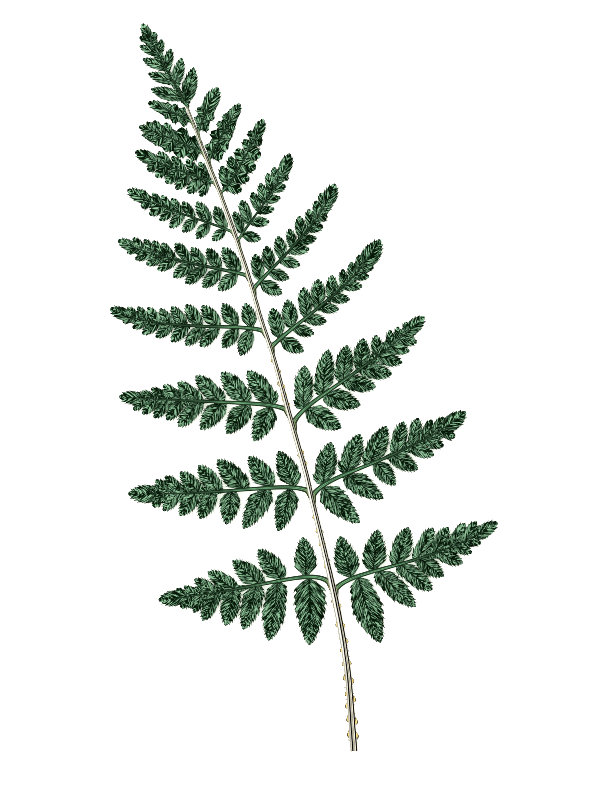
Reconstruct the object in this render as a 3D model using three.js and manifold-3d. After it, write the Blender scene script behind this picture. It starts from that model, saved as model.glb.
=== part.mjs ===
// Frond of the narrow buckler fern, picked and laid down with its upper side up.
// Millimetres, +Z up. The frond's length lies along +Y and its base is at the low end.
// The origin is the centre of the frond's box, on the surface that it rests on.

import * as THREE from 'three';
import Module from 'manifold-3d';
import { mergeVertices } from 'three/addons/utils/BufferGeometryUtils.js';

const wasm = await Module();
wasm.setup();

// Stalk and midrib, measured from the cut end along the frond

const STALK_LINE = [
  [0, 0], [3.2, 15], [7.3, 35], [9.3, 48], [10.7, 60], [12.1, 76], [13, 90],
  [13.9, 108], [14.6, 124], [15.5, 140], [15.65, 157], [15.7, 172], [16, 190], [16, 204],
  [15.35, 220], [15.4, 240], [14.65, 262], [13.45, 283], [11.6, 304], [10.5, 318], [9.35, 333],
];
const [STALK_END_X, STALK_TOP] = STALK_LINE[STALK_LINE.length - 1];
const STALK_HALF_WIDTHS = [
  [0, 1.95], [35, 1.8], [76, 1.8], [95, 1.55], [120, 1.4],
  [175, 1.38], [190, 1.25], [245, 1.18], [300, 1.08], [333, 0.65],
];
const STALK_STEPS = 26;
// One cross-section in half-widths: a flat to rest on, two sides and two grooves on the face
const STALK_SECTION = [
  [-0.5, 0], [0.5, 0], [1, 0.75],
  [0.78, 1.5], [0.4, 1.2], [0, 1.6], [-0.4, 1.2], [-0.78, 1.5], [-1, 0.75],
];

// Papery scales on the sides of the stalk, thinning out upwards

const SCALES_LEFT = [7, 14.5, 21, 27, 35, 42, 49, 62, 74, 92, 103, 110, 117, 149, 186, 198];
const SCALES_RIGHT = [6, 13, 24, 33, 42, 53, 61, 71, 109, 144, 150, 184, 192];
const HIGHEST_SCALE = 198;
const SCALE_LENGTH_AT_BASE = 3.8;
const SCALE_LENGTH_AT_TOP = 2.6;
const SCALE_WIDTH_SHARE = 0.55;
const SCALE_THICKNESS = 0.6;
const SCALE_SPREAD = THREE.MathUtils.degToRad(27);
const SCALE_ROOT_DEPTH = 0.9;
const SCALE_SEAT_SHARE = 0.8;
// Points of one scale: share of its length, share of its half-width, rise above its root
const SCALE_MIDDLE = [0.42, 0.2, 0.5];
const SCALE_EDGE = [[0.18, 0.8, 0], [0.62, 1, 0.2]];
const SCALE_TIP = [1, 0, 0.4];

// Ribs of the pinnae

const JOINT_GAP = 0.3;
const BLADE_HALF_THICKNESS = 0.33;
const RIB_HALF_WIDTH = 1;
const SHORT_PINNA = 60;
const SHORT_RIB_SHARE = 0.75;
const RIB_TAPER = 0.72;
const RIB_ABOVE = 0.55;
const RIB_BELOW = 0.8;
const RIB_FADE = 0.5;
const RIB_SHOULDER = 0.1;
const RIB_PIECES = 120;
const RIDGE_STEP = 3.2;
const BASE_TURN_POWER = 12;
const TIP_TURN_POWER = 3;
const WING_FROM = 0.45;
const WING_TO = 0.8;
const WING_HALF_WIDTH = 0.9;
const WING_START = 3;
const WING_END_SHARE = 0.4;

// Heights above the surface: a pinna leaves the stalk's side, arches up and droops to its tip

const JOINT_HEIGHT_SHARE = 0.95;
const ARCH_SHARE = 0.055;
const ARCH_LEAN = 0.3;
const TIP_HEIGHT = 0.4;
const SURFACE_GAP = 0.07;
const MARGIN_HEIGHT = 0.75;
const LOWEST_MARGIN = 0.45;
const LEAFLET_DROOP = 0.72;
const DROOP_POWER = 1.6;
const ROOF_SHARE = 0.1;

// Leaflets

const LEAFLET_BEND = THREE.MathUtils.degToRad(4);
const WIDTH_SHARE = 0.6;
const LARGE_LEAFLET = 22;
const LARGE_WIDTH_SHARE = 0.52;
const END_WIDTH_SHARE = 0.62;
const LOBE_FULLNESS = 1.2;
const WIDEST_AT = 0.34;
const TIP_FULLNESS = 0.76;
const ROOT_HALF_WIDTH = 0.75;
const LOBE_ROOT_SHARE = 0.42;
const ROOT_LIMIT_SHARE = 0.4;
const LOBE_GROWTH_POWER = 1.6;
const LOBED_WING = 0.5;
const ROOT_STRETCH = 0.35;
const ROOT_GAP = 0.4;
const FIRST_EDGE_STATIONS = [2, 4.2];
const LONG_LEAFLET = 12;
const LONG_SPINE = [0.3, 0.66];
const SHORT_SPINE = [0.5];
const TOOTH_PITCH = 5.1;
const TOOTH_DEPTH_SHARE = 0.16;
const TOOTH_PEAK = 0.72;
const FIRST_TOOTH = 0.1;
const LAST_TOOTH = 0.93;
const CLEAR_OF_NEIGHBOUR = 0.47;
const CLEAR_OF_STALK = 0.6;
const CLEAR_OF_RIB = 0.15;
const RIB_ROOM_SHARE = 0.9;
const LEAST_WIDTH = 0.3;

// The leaflets on one side of a rib, from the stalk outwards: the station of each along it, how far
// it leans from it in degrees, and its length
const side = (stations, leans, lengths) => ({ stations, leans, lengths });

// One pinna: its place on the stalk, the length of its rib, the rib's heading in degrees from
// straight out, at the stalk, in the middle and at the tip, then its upper and lower leaflets.
// The wing is the blade left beside the rib where the leaflets are only lobes.
const pinna = (at, length, heading, upper, lower, wing = 0) => ({ at, length, heading, upper, lower, wing });

// From the base of the frond up
const PINNAE_LEFT = [
  pinna(85.5, 86, [49, 5, 10],
    side([11, 23.5, 34.8, 48.3, 58.7, 67.3, 72],
      [88, 62, 51, 43, 43, 43, 43], [20, 19.5, 18, 15.5, 11.5, 7.5, 6.5]),
    side([9.5, 25.5, 36.5, 48, 57, 64.5, 71],
      [90, 71, 63, 67, 54, 57, 49], [34.5, 30.5, 23.5, 19, 16, 10, 7])),
  pinna(131.9, 89.8, [36, 11.5, 18],
    side([6.8, 18.8, 32, 45, 54.6, 63.3, 69.8],
      [62, 59, 52, 57, 50, 47, 47], [20, 19, 20, 16.3, 14, 12, 9.5]),
    side([8.3, 20.8, 37.8, 47.8, 56.3, 65.8, 72.8],
      [77, 57, 77, 62, 52, 49, 52], [23, 23.5, 17.5, 15, 14, 11, 8])),
  pinna(174.2, 83.2, [36, 18.5, 20],
    side([6.7, 19.8, 32.8, 43.8, 52.8, 59.8, 66.3],
      [45, 48, 44, 39, 36, 30, 24], [21.5, 20, 18, 14, 11.5, 9.5, 7]),
    side([7.2, 19.2, 31.8, 43.2, 52.2, 59.2, 65.2, 70.7],
      [73, 59, 54, 53, 55, 56, 52, 50], [20, 18.5, 17.5, 16.5, 12.5, 11.5, 10, 8])),
  pinna(215, 77.4, [31, 16.5, 44],
    side([5.5, 13.5, 22.7, 31.7, 39.5, 46.6, 52.6, 58.4, 63.3],
      [70, 59, 53, 57, 53, 51, 46, 43, 31], [13.2, 13.7, 13.2, 12.8, 11.3, 9.3, 9.3, 8.3, 7.4]),
    side([6, 13, 23, 30.4, 38.4, 46, 53, 59, 65],
      [76, 57, 51, 51, 51, 46, 44, 41, 35], [14.7, 12.6, 13, 12.5, 11, 10, 9.4, 7.4, 5.9])),
  pinna(243.9, 66.4, [31, 27, 44],
    side([4.3, 14, 21.7, 28.6, 37.5, 42.6, 47.3, 53.5],
      [46, 49, 44, 40, 41, 40, 36, 31], [15, 12, 11.2, 12.6, 9.8, 9.5, 8.9, 7.8]),
    side([5, 13.5, 21.1, 28.1, 36.6, 43.1, 49.6, 55.6],
      [56, 58, 53, 49, 43, 39, 38, 33], [12.7, 12.5, 13, 11.4, 10, 9, 8, 6])),
  pinna(266.9, 56, [41, 34, 49],
    side([3.7, 12.5, 21, 27.4, 32.9, 37.9, 43.9],
      [44, 43, 40, 42, 38, 32, 23], [12.3, 12, 9.1, 8.6, 8.1, 7.6, 7.2]),
    side([3.5, 12, 19, 26, 31.5, 37.1, 43.1],
      [64, 70, 65, 68, 59, 55, 50], [8.7, 10, 9.4, 9.4, 8, 7.4, 5.4])),
  pinna(292.7, 42.2, [35, 36, 45],
    side([3.7, 9.9, 17.8, 24.8], [43, 36, 32, 28], [10.4, 9.8, 8.8, 8.9]),
    side([3.2, 7.7, 13.7, 19.2, 25.2, 30.2], [87, 74, 72, 68, 69, 68], [8.9, 9.7, 10, 9, 8, 6.6]), 1),
  pinna(308.9, 34, [48, 39, 35],
    side([4.2, 11.5, 19, 24], [42, 40, 36, 32], [7.3, 8, 8, 7.5]),
    side([4, 10, 16.5, 22, 26], [76, 70, 64, 58, 52], [5.6, 7.2, 7, 6.4, 5.4]), 3),
  pinna(325.4, 23.2, [46, 41, 37],
    side([5, 10, 14], [52, 46, 38], [5, 4.6, 3.7]),
    side([3.5, 8, 12.5], [66, 58, 53], [3.4, 4.2, 3.7]), 2.1),
];
const PINNAE_RIGHT = [
  pinna(80.8, 87.5, [30, -1.5, 19],
    side([9, 20.5, 33, 44, 53, 62, 69.5],
      [82, 67, 57, 46, 42, 36, 33], [22, 21, 19.5, 17, 14.5, 13.5, 11]),
    side([12, 23, 34.5, 44.5, 55, 63.5, 69.5, 75],
      [91, 60, 55, 54, 45, 44, 31, 27], [35.5, 26.5, 21, 15.5, 13.5, 9.5, 8, 6.5])),
  pinna(129.1, 87.1, [37.5, 5, 24],
    side([6.9, 19.9, 32.7, 46.9, 55.9, 61.9, 67.9],
      [46, 48, 44, 53, 52, 36, 26], [22, 21, 20.5, 16, 14, 11, 10]),
    side([5.7, 19.4, 35.4, 44.4, 54.9, 62.9, 70.9],
      [80, 56, 73, 53, 46, 48, 50], [26.5, 22.5, 15.5, 15, 12.5, 10, 8.5])),
  pinna(166.8, 83.8, [44, 18, 29],
    side([8.1, 19.8, 32.3, 43.3, 53.8, 61.8, 66.8, 71.3],
      [47, 47, 49, 50, 59, 53, 53, 45], [22, 23, 18, 15, 10.5, 8, 6.5, 6]),
    side([8.8, 20.8, 33.1, 43.6, 53.8, 61.3, 67.3],
      [70, 52, 47, 47, 52, 50, 48], [20.5, 19, 16, 15.5, 12.5, 10, 9])),
  pinna(206.2, 76.2, [28, 21.5, 48],
    side([5.7, 13.4, 22.9, 30.3, 39, 47.2, 53.2, 58.8],
      [65, 61, 59, 52, 49, 50, 46, 40], [15.8, 14.8, 14.9, 14.3, 10.6, 8.1, 7.4, 7]),
    side([5.5, 14.2, 22, 30.9, 38.3, 47.2, 54.3, 59.7],
      [70, 55, 47, 46, 47, 44, 50, 47], [13.4, 10.6, 10.4, 9.5, 9.3, 9, 7.4, 6])),
  pinna(236.7, 66.2, [33, 29, 57],
    side([5, 12.4, 20.8, 28.4, 35.4, 42.3, 47.9, 52.8],
      [55, 55, 56, 55, 50, 44, 38, 36], [13.6, 12.2, 11.1, 9.1, 10.3, 8.4, 8.2, 8]),
    side([4, 11.1, 19.3, 26, 32.4, 40.8, 48],
      [76, 65, 62, 42, 38, 41, 43], [12.8, 10.5, 10, 9.6, 9, 6.8, 4.5])),
  pinna(262.2, 50, [42, 37, 61],
    side([3.6, 9.8, 17.9, 23, 28.9, 33.9], [56, 56, 58, 49, 43, 36], [11.8, 12.4, 9.7, 9.7, 9.7, 8.6]),
    side([3, 10.7, 17.5, 23.8, 30.7, 37.2], [71, 53, 46, 43, 41, 52], [9.8, 9.2, 7.7, 7.2, 6.2, 4.1])),
  pinna(287.3, 42, [20, 43, 56],
    side([5.4, 12.6, 19.6, 26, 31], [52, 49, 54, 52, 53], [10, 8.6, 6.6, 5.5, 5.2]),
    side([4.6, 10.6, 17, 24, 30.5], [73, 74, 72, 78, 80], [7.4, 7.7, 7.6, 6.6, 4.1]), 1),
  pinna(304.6, 31.8, [55, 44, 46],
    side([5, 12, 17.5, 22], [54, 50, 48, 46], [4.8, 5.4, 5.2, 4.8]),
    side([4, 9.5, 15.5, 20], [80, 70, 62, 54], [5.6, 5.8, 4.6, 3.6]), 2.3),
  pinna(319.8, 24, [54, 50, 47],
    side([4.5, 10], [52, 48], [4.7, 4.6]),
    side([4, 9.5], [74, 62], [4.2, 4.5]), 2.2),
];
const FROND_TIP = pinna(STALK_TOP, 47, [105, 103, 99],
  side([6.5, 15.5, 23.5, 31, 37], [45, 42, 40, 37, 35], [15.5, 12.5, 11.5, 9.5, 6.5]),
  side([3.5, 13.5, 22.5, 30.5, 36.5], [44, 43, 41, 40, 38], [17.8, 13.6, 10, 7.5, 5.6]), 0.9);

// Materials

const leafGreen = new THREE.MeshStandardMaterial({ color: 0x2f6b45, roughness: 0.62, metalness: 0 });
const stalkStraw = new THREE.MeshStandardMaterial({ color: 0xd9d4b4, roughness: 0.55, metalness: 0 });

// Small helpers for plan points, angles and graded values

const degrees = THREE.MathUtils.degToRad;
const { smoothstep } = THREE.MathUtils;
const mix = (a, b, share) => a + (b - a) * share;
const limit = (value, low, high) => Math.min(high, Math.max(low, value));
const plus = (p, q, times = 1) => ({ x: p.x + q.x * times, y: p.y + q.y * times });
const heading = (angle) => ({ x: Math.cos(angle), y: Math.sin(angle) });
const across = (angle) => ({ x: -Math.sin(angle), y: Math.cos(angle) });
const apart = (p, q) => Math.hypot(p.x - q.x, p.y - q.y);

function graded(table, at) {
  const next = table.findIndex(([place]) => place > at);
  if (next < 0) {
    return table[table.length - 1][1];
  }
  if (next === 0) {
    return table[0][1];
  }
  const [lowPlace, lowValue] = table[next - 1];
  const [highPlace, highValue] = table[next];
  return mix(lowValue, highValue, (at - lowPlace) / (highPlace - lowPlace));
}

function distanceToLine(p, line) {
  let nearest = Infinity;
  for (let i = 1; i < line.length; i += 1) {
    const step = plus(line[i], line[i - 1], -1);
    const reach = plus(p, line[i - 1], -1);
    const share = (reach.x * step.x + reach.y * step.y) / (step.x * step.x + step.y * step.y);
    nearest = Math.min(nearest, apart(p, plus(line[i - 1], step, limit(share, 0, 1))));
  }
  return nearest;
}

// The stalk's centre line in plan

const stalkCurve = new THREE.CatmullRomCurve3(
  STALK_LINE.map(([x, y]) => new THREE.Vector3(x, y, 0)), false, 'centripetal');
const stalkPlan = stalkCurve.getPoints(200);

function stalkAt(y) {
  const next = Math.max(1, stalkPlan.findIndex((p) => p.y >= y));
  const low = stalkPlan[next - 1];
  const high = stalkPlan[next];
  return { x: mix(low.x, high.x, (y - low.y) / (high.y - low.y)), y };
}

// A blade is a flat net of triangles in plan, with a height and a thickness at each point.
// Its two faces are split alike, and a wall runs along every free edge, so it is one closed body.

class Blade {
  constructor() {
    this.points = [];
    this.faces = [];
  }

  add(p, z, above = BLADE_HALF_THICKNESS, below = BLADE_HALF_THICKNESS) {
    this.points.push({ x: p.x, y: p.y, z, above, below });
    return this.points.length - 1;
  }

  // Fills the area between two rows of points that run the same way
  fill(one, two) {
    const loop = [...one, ...two.reverse()].filter((point, i, all) => point !== all[(i + 1) % all.length]);
    const outline = loop.map((point) => new THREE.Vector2(this.points[point].x, this.points[point].y));
    THREE.ShapeUtils.triangulateShape(outline, []).forEach(([a, b, c]) => {
      const turned = THREE.ShapeUtils.isClockWise([outline[a], outline[b], outline[c]]);
      this.faces.push(turned ? [loop[a], loop[c], loop[b]] : [loop[a], loop[b], loop[c]]);
    });
  }

  closed() {
    const count = this.points.length;
    const positions = [];
    this.points.forEach((p) => positions.push(p.x, p.y, p.z + p.above));
    this.points.forEach((p) => positions.push(p.x, p.y, p.z - p.below));
    const triangles = [];
    const edges = new Set();
    this.faces.forEach(([a, b, c]) => {
      triangles.push(a, b, c, c + count, b + count, a + count);
      [[a, b], [b, c], [c, a]].forEach(([from, to]) => edges.add(`${from}_${to}`));
    });
    edges.forEach((edge) => {
      const [from, to] = edge.split('_').map(Number);
      if (!edges.has(`${to}_${from}`)) {
        triangles.push(to, from, from + count, to, from + count, to + count);
      }
    });
    return meshOf(positions, triangles);
  }
}

function meshOf(positions, triangles) {
  const geometry = new THREE.BufferGeometry();
  geometry.setAttribute('position', new THREE.Float32BufferAttribute(positions, 3));
  geometry.setIndex(triangles);
  return geometry;
}

// Left pinnae are built as right ones and mirrored

function mirrored(geometry) {
  geometry.scale(-1, 1, 1);
  const index = geometry.getIndex();
  for (let i = 0; i < index.count; i += 3) {
    const swap = index.getX(i);
    index.setX(i, index.getX(i + 2));
    index.setX(i + 2, swap);
  }
  return geometry;
}

// Where a pinna meets the stalk, and the direction its base runs in; the tip meets the stalk's end

function jointOf(row, sideSign) {
  if (row.at >= STALK_TOP) {
    const turned = degrees(row.heading[0]);
    const stalkEnd = { x: STALK_END_X, y: STALK_TOP };
    return { point: plus(stalkEnd, heading(turned), JOINT_GAP), baseAngle: turned + Math.PI / 2 };
  }
  const centre = stalkAt(row.at);
  const above = stalkAt(row.at + 1);
  return {
    point: { x: centre.x * sideSign + graded(STALK_HALF_WIDTHS, row.at) + JOINT_GAP, y: centre.y },
    baseAngle: Math.atan2(above.y - centre.y, (above.x - centre.x) * sideSign),
  };
}

// The rib of one pinna: it leaves the stalk steeply, runs straight, and turns up at its tip

function ribOf(row, joint) {
  const [start, middle, end] = row.heading.map(degrees);
  const headingAt = (share) => (
    middle + (start - middle) * (1 - share) ** BASE_TURN_POWER + (end - middle) * share ** TIP_TURN_POWER);
  const line = [joint.point];
  for (let i = 0; i < RIB_PIECES; i += 1) {
    line.push(plus(line[i], heading(headingAt((i + 0.5) / RIB_PIECES)), row.length / RIB_PIECES));
  }
  const pointAt = (s) => {
    const place = limit(s / row.length, 0, 1) * RIB_PIECES;
    const low = Math.min(Math.floor(place), RIB_PIECES - 1);
    return plus(line[low], plus(line[low + 1], line[low], -1), place - low);
  };
  const ribHalf = RIB_HALF_WIDTH * (row.length < SHORT_PINNA ? SHORT_RIB_SHARE : 1);
  const halfWidthAt = (s) => {
    const share = s / row.length;
    const grown = smoothstep(share, WING_FROM, WING_TO) * WING_HALF_WIDTH;
    const wing = Math.max(grown, row.wing * Math.min(1, s / WING_START));
    return ribHalf * (1 - RIB_TAPER * share) + wing * Math.min(1, (1 - share) / WING_END_SHARE);
  };
  return { pointAt, halfWidthAt, angleAt: (s) => headingAt(s / row.length) };
}

// A leaflet's midrib in plan, bending a little towards the pinna's tip

function midribOf(root, angle, size, bend) {
  const elbow = plus(root, heading(angle + bend), size * 0.5);
  const tip = plus(root, heading(angle), size);
  return (t) => ({
    x: root.x * (1 - t) ** 2 + 2 * elbow.x * t * (1 - t) + tip.x * t * t,
    y: root.y * (1 - t) ** 2 + 2 * elbow.y * t * (1 - t) + tip.y * t * t,
  });
}

const lineOf = (leaflet) => Array.from({ length: 9 }, (unused, i) => leaflet.midrib(i / 8));

// Half the width of a leaflet along it: narrow at the root, widest at a third, rounded at the tip

function outlineShare(t, rootShare) {
  if (t < WIDEST_AT) {
    return mix(rootShare, 1, Math.sin((Math.PI / 2) * (t / WIDEST_AT)));
  }
  return (1 - ((t - WIDEST_AT) / (1 - WIDEST_AT)) ** 2) ** TIP_FULLNESS;
}

// A point of a leaflet's margin at a share of its length, and its distance from the midrib.
// It keeps clear of the neighbouring leaflets, of the rib ahead of it and of the stalk.

function marginPoint(leaflet, half, t, fullness, neighbours) {
  const { midrib, size, lean, ribAngle, stalkRoom } = leaflet;
  const isAhead = half === -leaflet.turn;
  const centre = midrib(t);
  const before = midrib(Math.max(0, t - 0.02));
  const beyond = midrib(Math.min(1, t + 0.02));
  const angle = Math.atan2(beyond.y - before.y, beyond.x - before.x);
  // Near the root the margin runs out along the rib, and further on square to the midrib
  const square = lean ? smoothstep(t, 0, ROOT_STRETCH) : 1;
  const alongRib = heading(ribAngle + (isAhead ? 0 : Math.PI));
  const outward = plus(alongRib, across(angle), (half * square) / (1.001 - square));
  const outAngle = Math.atan2(outward.y, outward.x);
  const slant = Math.abs(Math.sin(outAngle - angle));

  const halfWidth = leaflet.widthShare * size * 0.5;
  const nearest = Math.min(...neighbours.map((line) => distanceToLine(centre, line)));
  let width = Math.min(
    halfWidth * outlineShare(t, leaflet.rootHalf / halfWidth), nearest * CLEAR_OF_NEIGHBOUR);
  if (isAhead && lean && Math.cos(lean) > 0.05) {
    const drop = Math.max(0.05, Math.sin(Math.abs(ribAngle - outAngle)));
    const room = (t * size * Math.sin(lean) - CLEAR_OF_RIB) / drop;
    width = Math.min(width, Math.max(LEAST_WIDTH, RIB_ROOM_SHARE * room * slant));
  }
  width *= fullness;
  const pointOut = () => plus(centre, heading(outAngle), width / slant);
  while (width > LEAST_WIDTH && stalkRoom(pointOut()) < CLEAR_OF_STALK) {
    width -= 0.1;
  }
  return { point: pointOut(), width };
}

// One leaflet: two toothed halves that meet on its midrib. Its root stands on three points of
// the rib, behind, middle and ahead.

function addLeaflet(blade, leaflet, neighbours, heightAt) {
  const { midrib, size, root } = leaflet;
  const inner = size > LONG_LEAFLET ? LONG_SPINE : SHORT_SPINE;
  const tip = blade.add(midrib(1), heightAt(1, 0));
  const spine = [root.middle, ...inner.map((t) => blade.add(midrib(t), heightAt(t, 0))), tip];
  const teeth = Math.max(2, Math.round(size / TOOTH_PITCH));

  [-1, 1].forEach((half) => {
    const margin = [half === -leaflet.turn ? root.ahead : root.behind];
    const place = (t, fullness) => {
      const { point, width } = marginPoint(leaflet, half, t, fullness, neighbours);
      margin.push(blade.add(point, heightAt(t, width)));
    };
    for (let i = 0; i < teeth; i += 1) {
      const from = mix(FIRST_TOOTH, LAST_TOOTH, i / teeth);
      const to = mix(FIRST_TOOTH, LAST_TOOTH, (i + 1) / teeth);
      place(from, 1 - TOOTH_DEPTH_SHARE);
      place(mix(from, to, TOOTH_PEAK), 1);
    }
    blade.fill(spine, [...margin, tip]);
  });
}

// The leaflets of one pinna on both sides of its rib

function leafletsOf(row, rib, stalkRoom) {
  return [[row.upper, 1], [row.lower, -1]].flatMap(([sideRow, turn]) => {
    const { stations, leans, lengths } = sideRow;
    const last = lengths.length - 1;
    return lengths.map((length, i) => {
      const s = stations[i];
      const lean = degrees(leans[i]);
      const ribAngle = rib.angleAt(s);
      const foot = plus(rib.pointAt(s), across(ribAngle), turn * rib.halfWidthAt(s));
      const size = length - rib.halfWidthAt(s);
      const spacing = i < last ? stations[i + 1] - s : s - stations[i - 1];
      const room = spacing * Math.sin(lean);
      const grown = row.wing > LOBED_WING ? 1 : (i / last) ** LOBE_GROWTH_POWER;
      const rootHalf = Math.min(mix(ROOT_HALF_WIDTH, LOBE_ROOT_SHARE * room, grown), ROOT_LIMIT_SHARE * room);
      const widthShare = length > LARGE_LEAFLET ? LARGE_WIDTH_SHARE : WIDTH_SHARE;
      return {
        s, size, lean, ribAngle, turn, spacing, rootHalf, stalkRoom,
        midrib: midribOf(foot, ribAngle + turn * lean, size, turn * LEAFLET_BEND),
        widthShare: Math.max(widthShare, (grown * LOBE_FULLNESS * room) / size),
      };
    });
  });
}

// One pinna: a raised rib with toothed leaflets cut to it on both sides, as one thin arched blade

function buildPinna(row, sideSign) {
  const blade = new Blade();
  const joint = jointOf(row, sideSign);
  const rib = ribOf(row, joint);
  const jointHeight = graded(STALK_HALF_WIDTHS, row.at) * JOINT_HEIGHT_SHARE;
  const ribHeight = (s) => {
    const share = s / row.length;
    const arch = ARCH_SHARE * row.length * 4 * share * (1 - share) * (1 - ARCH_LEAN * share);
    return mix(jointHeight, TIP_HEIGHT, share) + arch;
  };
  const stalkRoom = (p) => {
    const isBeside = row.at < STALK_TOP && p.y > 0 && p.y < STALK_TOP;
    return isBeside ? p.x - stalkAt(p.y).x * sideSign - graded(STALK_HALF_WIDTHS, p.y) : Infinity;
  };
  const leaflets = leafletsOf(row, rib, stalkRoom);

  // The last stretch of the rib is the midrib of an end leaflet
  const lastStation = Math.max(...leaflets.map((leaflet) => leaflet.s + leaflet.spacing * 0.5));
  const endSize = row.length - lastStation;
  const end = {
    size: endSize, turn: -1, lean: 0, ribAngle: 0, widthShare: END_WIDTH_SHARE, stalkRoom,
    rootHalf: rib.halfWidthAt(lastStation),
    midrib: (t) => rib.pointAt(lastStation + endSize * t),
  };

  const ridge = [];
  let reached = -Infinity;
  [0, ...leaflets.map((leaflet) => leaflet.s).sort((a, b) => a - b), lastStation].forEach((s) => {
    if (s - reached > RIDGE_STEP || s === lastStation) {
      const fade = 1 - RIB_FADE * (s / row.length);
      const below = Math.min(RIB_BELOW * fade, ribHeight(s) - SURFACE_GAP);
      ridge.push(blade.add(rib.pointAt(s), ribHeight(s), RIB_ABOVE * fade, below));
      reached = s;
    }
  });

  const endCorners = [1, -1].map((turn) => {
    const baseHalf = rib.halfWidthAt(0) / Math.abs(Math.sin(rib.angleAt(0) - joint.baseAngle));
    const baseCorner = plus(joint.point, heading(joint.baseAngle), turn * baseHalf);
    const edge = [blade.add(baseCorner, ribHeight(0) - RIB_SHOULDER)];
    const edgePoint = (s) => plus(rib.pointAt(s), across(rib.angleAt(s)), turn * rib.halfWidthAt(s));
    const addEdge = (s) => {
      edge.push(blade.add(edgePoint(s), ribHeight(s) - RIB_SHOULDER));
      return edge[edge.length - 1];
    };
    const ours = leaflets.filter((leaflet) => leaflet.turn === turn);
    let before = 0;
    ours.forEach((leaflet) => {
      const reach = leaflet.rootHalf / Math.sin(leaflet.lean);
      const start = Math.max(leaflet.s - reach, before + ROOT_GAP);
      const isAtStalk = stalkRoom(edgePoint(start)) < JOINT_GAP;
      if (leaflet === ours[0]) {
        FIRST_EDGE_STATIONS.filter((s) => s < start - ROOT_GAP).forEach(addEdge);
      }
      const behind = isAtStalk ? edge[0] : addEdge(start);
      const [middle, ahead] = [leaflet.s, leaflet.s + reach].map(addEdge);
      leaflet.root = { behind, middle, ahead };
      before = leaflet.s + reach;
    });
    const endCorner = addEdge(lastStation);
    blade.fill(ridge, edge);

    ours.forEach((leaflet, i) => {
      const neighbours = [end, ours[i - 1], ours[i + 1]].filter(Boolean).map(lineOf);
      const rootHeight = ribHeight(leaflet.s) - RIB_SHOULDER;
      addLeaflet(blade, leaflet, neighbours, (t, width) => {
        const drooped = mix(rootHeight, MARGIN_HEIGHT, LEAFLET_DROOP * t ** DROOP_POWER);
        return Math.max(LOWEST_MARGIN, drooped - ROOF_SHARE * width);
      });
    });
    return endCorner;
  });

  end.root = { ahead: endCorners[0], middle: ridge[ridge.length - 1], behind: endCorners[1] };
  addLeaflet(blade, end, leaflets.map(lineOf), (t, width) => (
    Math.max(TIP_HEIGHT, ribHeight(lastStation + endSize * t) - ROOF_SHARE * width)));
  return sideSign < 0 ? mirrored(blade.closed()) : blade.closed();
}

// The stalk and midrib as one tapering grooved rod, with a flat along its underside

function stalkRod() {
  const rings = [];
  for (let i = 0; i <= STALK_STEPS; i += 1) {
    const centre = stalkCurve.getPointAt(i / STALK_STEPS);
    const tangent = stalkCurve.getTangentAt(i / STALK_STEPS);
    const half = graded(STALK_HALF_WIDTHS, centre.y);
    rings.push(STALK_SECTION.map(([sideways, up]) => [
      centre.x + tangent.y * sideways * half, centre.y - tangent.x * sideways * half, up * half]));
  }
  const around = STALK_SECTION.length;
  const triangles = [];
  for (let ring = 0; ring < STALK_STEPS; ring += 1) {
    for (let k = 0; k < around; k += 1) {
      const a = ring * around + k;
      const b = ring * around + ((k + 1) % around);
      triangles.push(a, b + around, b, a, a + around, b + around);
    }
  }
  const outline = STALK_SECTION.map(([x, y]) => new THREE.Vector2(x, y));
  const last = STALK_STEPS * around;
  THREE.ShapeUtils.triangulateShape(outline, []).forEach(([a, b, c]) => {
    triangles.push(a, b, c, last + c, last + b, last + a);
  });
  return meshOf(rings.flat(2), triangles);
}

// One scale: a thin pointed blade that leaves the stalk's side and lies up along it

function scaleAt(y, sideSign) {
  const size = mix(SCALE_LENGTH_AT_BASE, SCALE_LENGTH_AT_TOP, y / HIGHEST_SCALE);
  const halfWidth = SCALE_WIDTH_SHARE * size * 0.5;
  const stalkHalf = graded(STALK_HALF_WIDTHS, y);
  const centre = stalkAt(y);
  const above = stalkAt(y + 1);
  const up = Math.atan2(above.y - centre.y, above.x - centre.x);
  const angle = up - sideSign * SCALE_SPREAD;
  const root = plus(centre, across(up), -sideSign * (stalkHalf - SCALE_ROOT_DEPTH));
  const blade = new Blade();
  const place = ([t, sideways, rise], hand = 1) => blade.add(
    plus(plus(root, heading(angle), t * size), across(angle), hand * sideways * halfWidth),
    stalkHalf * SCALE_SEAT_SHARE + rise, SCALE_THICKNESS / 2, SCALE_THICKNESS / 2);
  const back = place([0, 0, 0]);
  const middle = place(SCALE_MIDDLE, sideSign);
  const tip = place(SCALE_TIP);
  [1, -1].forEach((hand) => {
    const edge = SCALE_EDGE.map((point) => place(point, hand));
    blade.fill([back, middle, tip], [back, ...edge, tip]);
  });
  return blade.closed();
}

function toSolid(geometry) {
  const merged = mergeVertices(geometry, 1e-4);
  return new wasm.Manifold(new wasm.Mesh({
    numProp: 3,
    vertProperties: new Float32Array(merged.getAttribute('position').array),
    triVerts: new Uint32Array(merged.getIndex().array),
  }));
}

function buildStalk() {
  let solid = toSolid(stalkRod());
  [[SCALES_LEFT, -1], [SCALES_RIGHT, 1]].forEach(([places, sideSign]) => {
    places.forEach((y) => {
      solid = solid.add(toSolid(scaleAt(y, sideSign)));
    });
  });
  const mesh = solid.getMesh();
  return meshOf(Array.from(mesh.vertProperties), Array.from(mesh.triVerts));
}

// The whole frond, with its box centred over the origin

const frond = new THREE.Group();

function addPiece(name, geometry, material) {
  const mesh = new THREE.Mesh(geometry, material);
  mesh.name = name;
  geometry.computeVertexNormals();
  frond.add(mesh);
}

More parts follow.
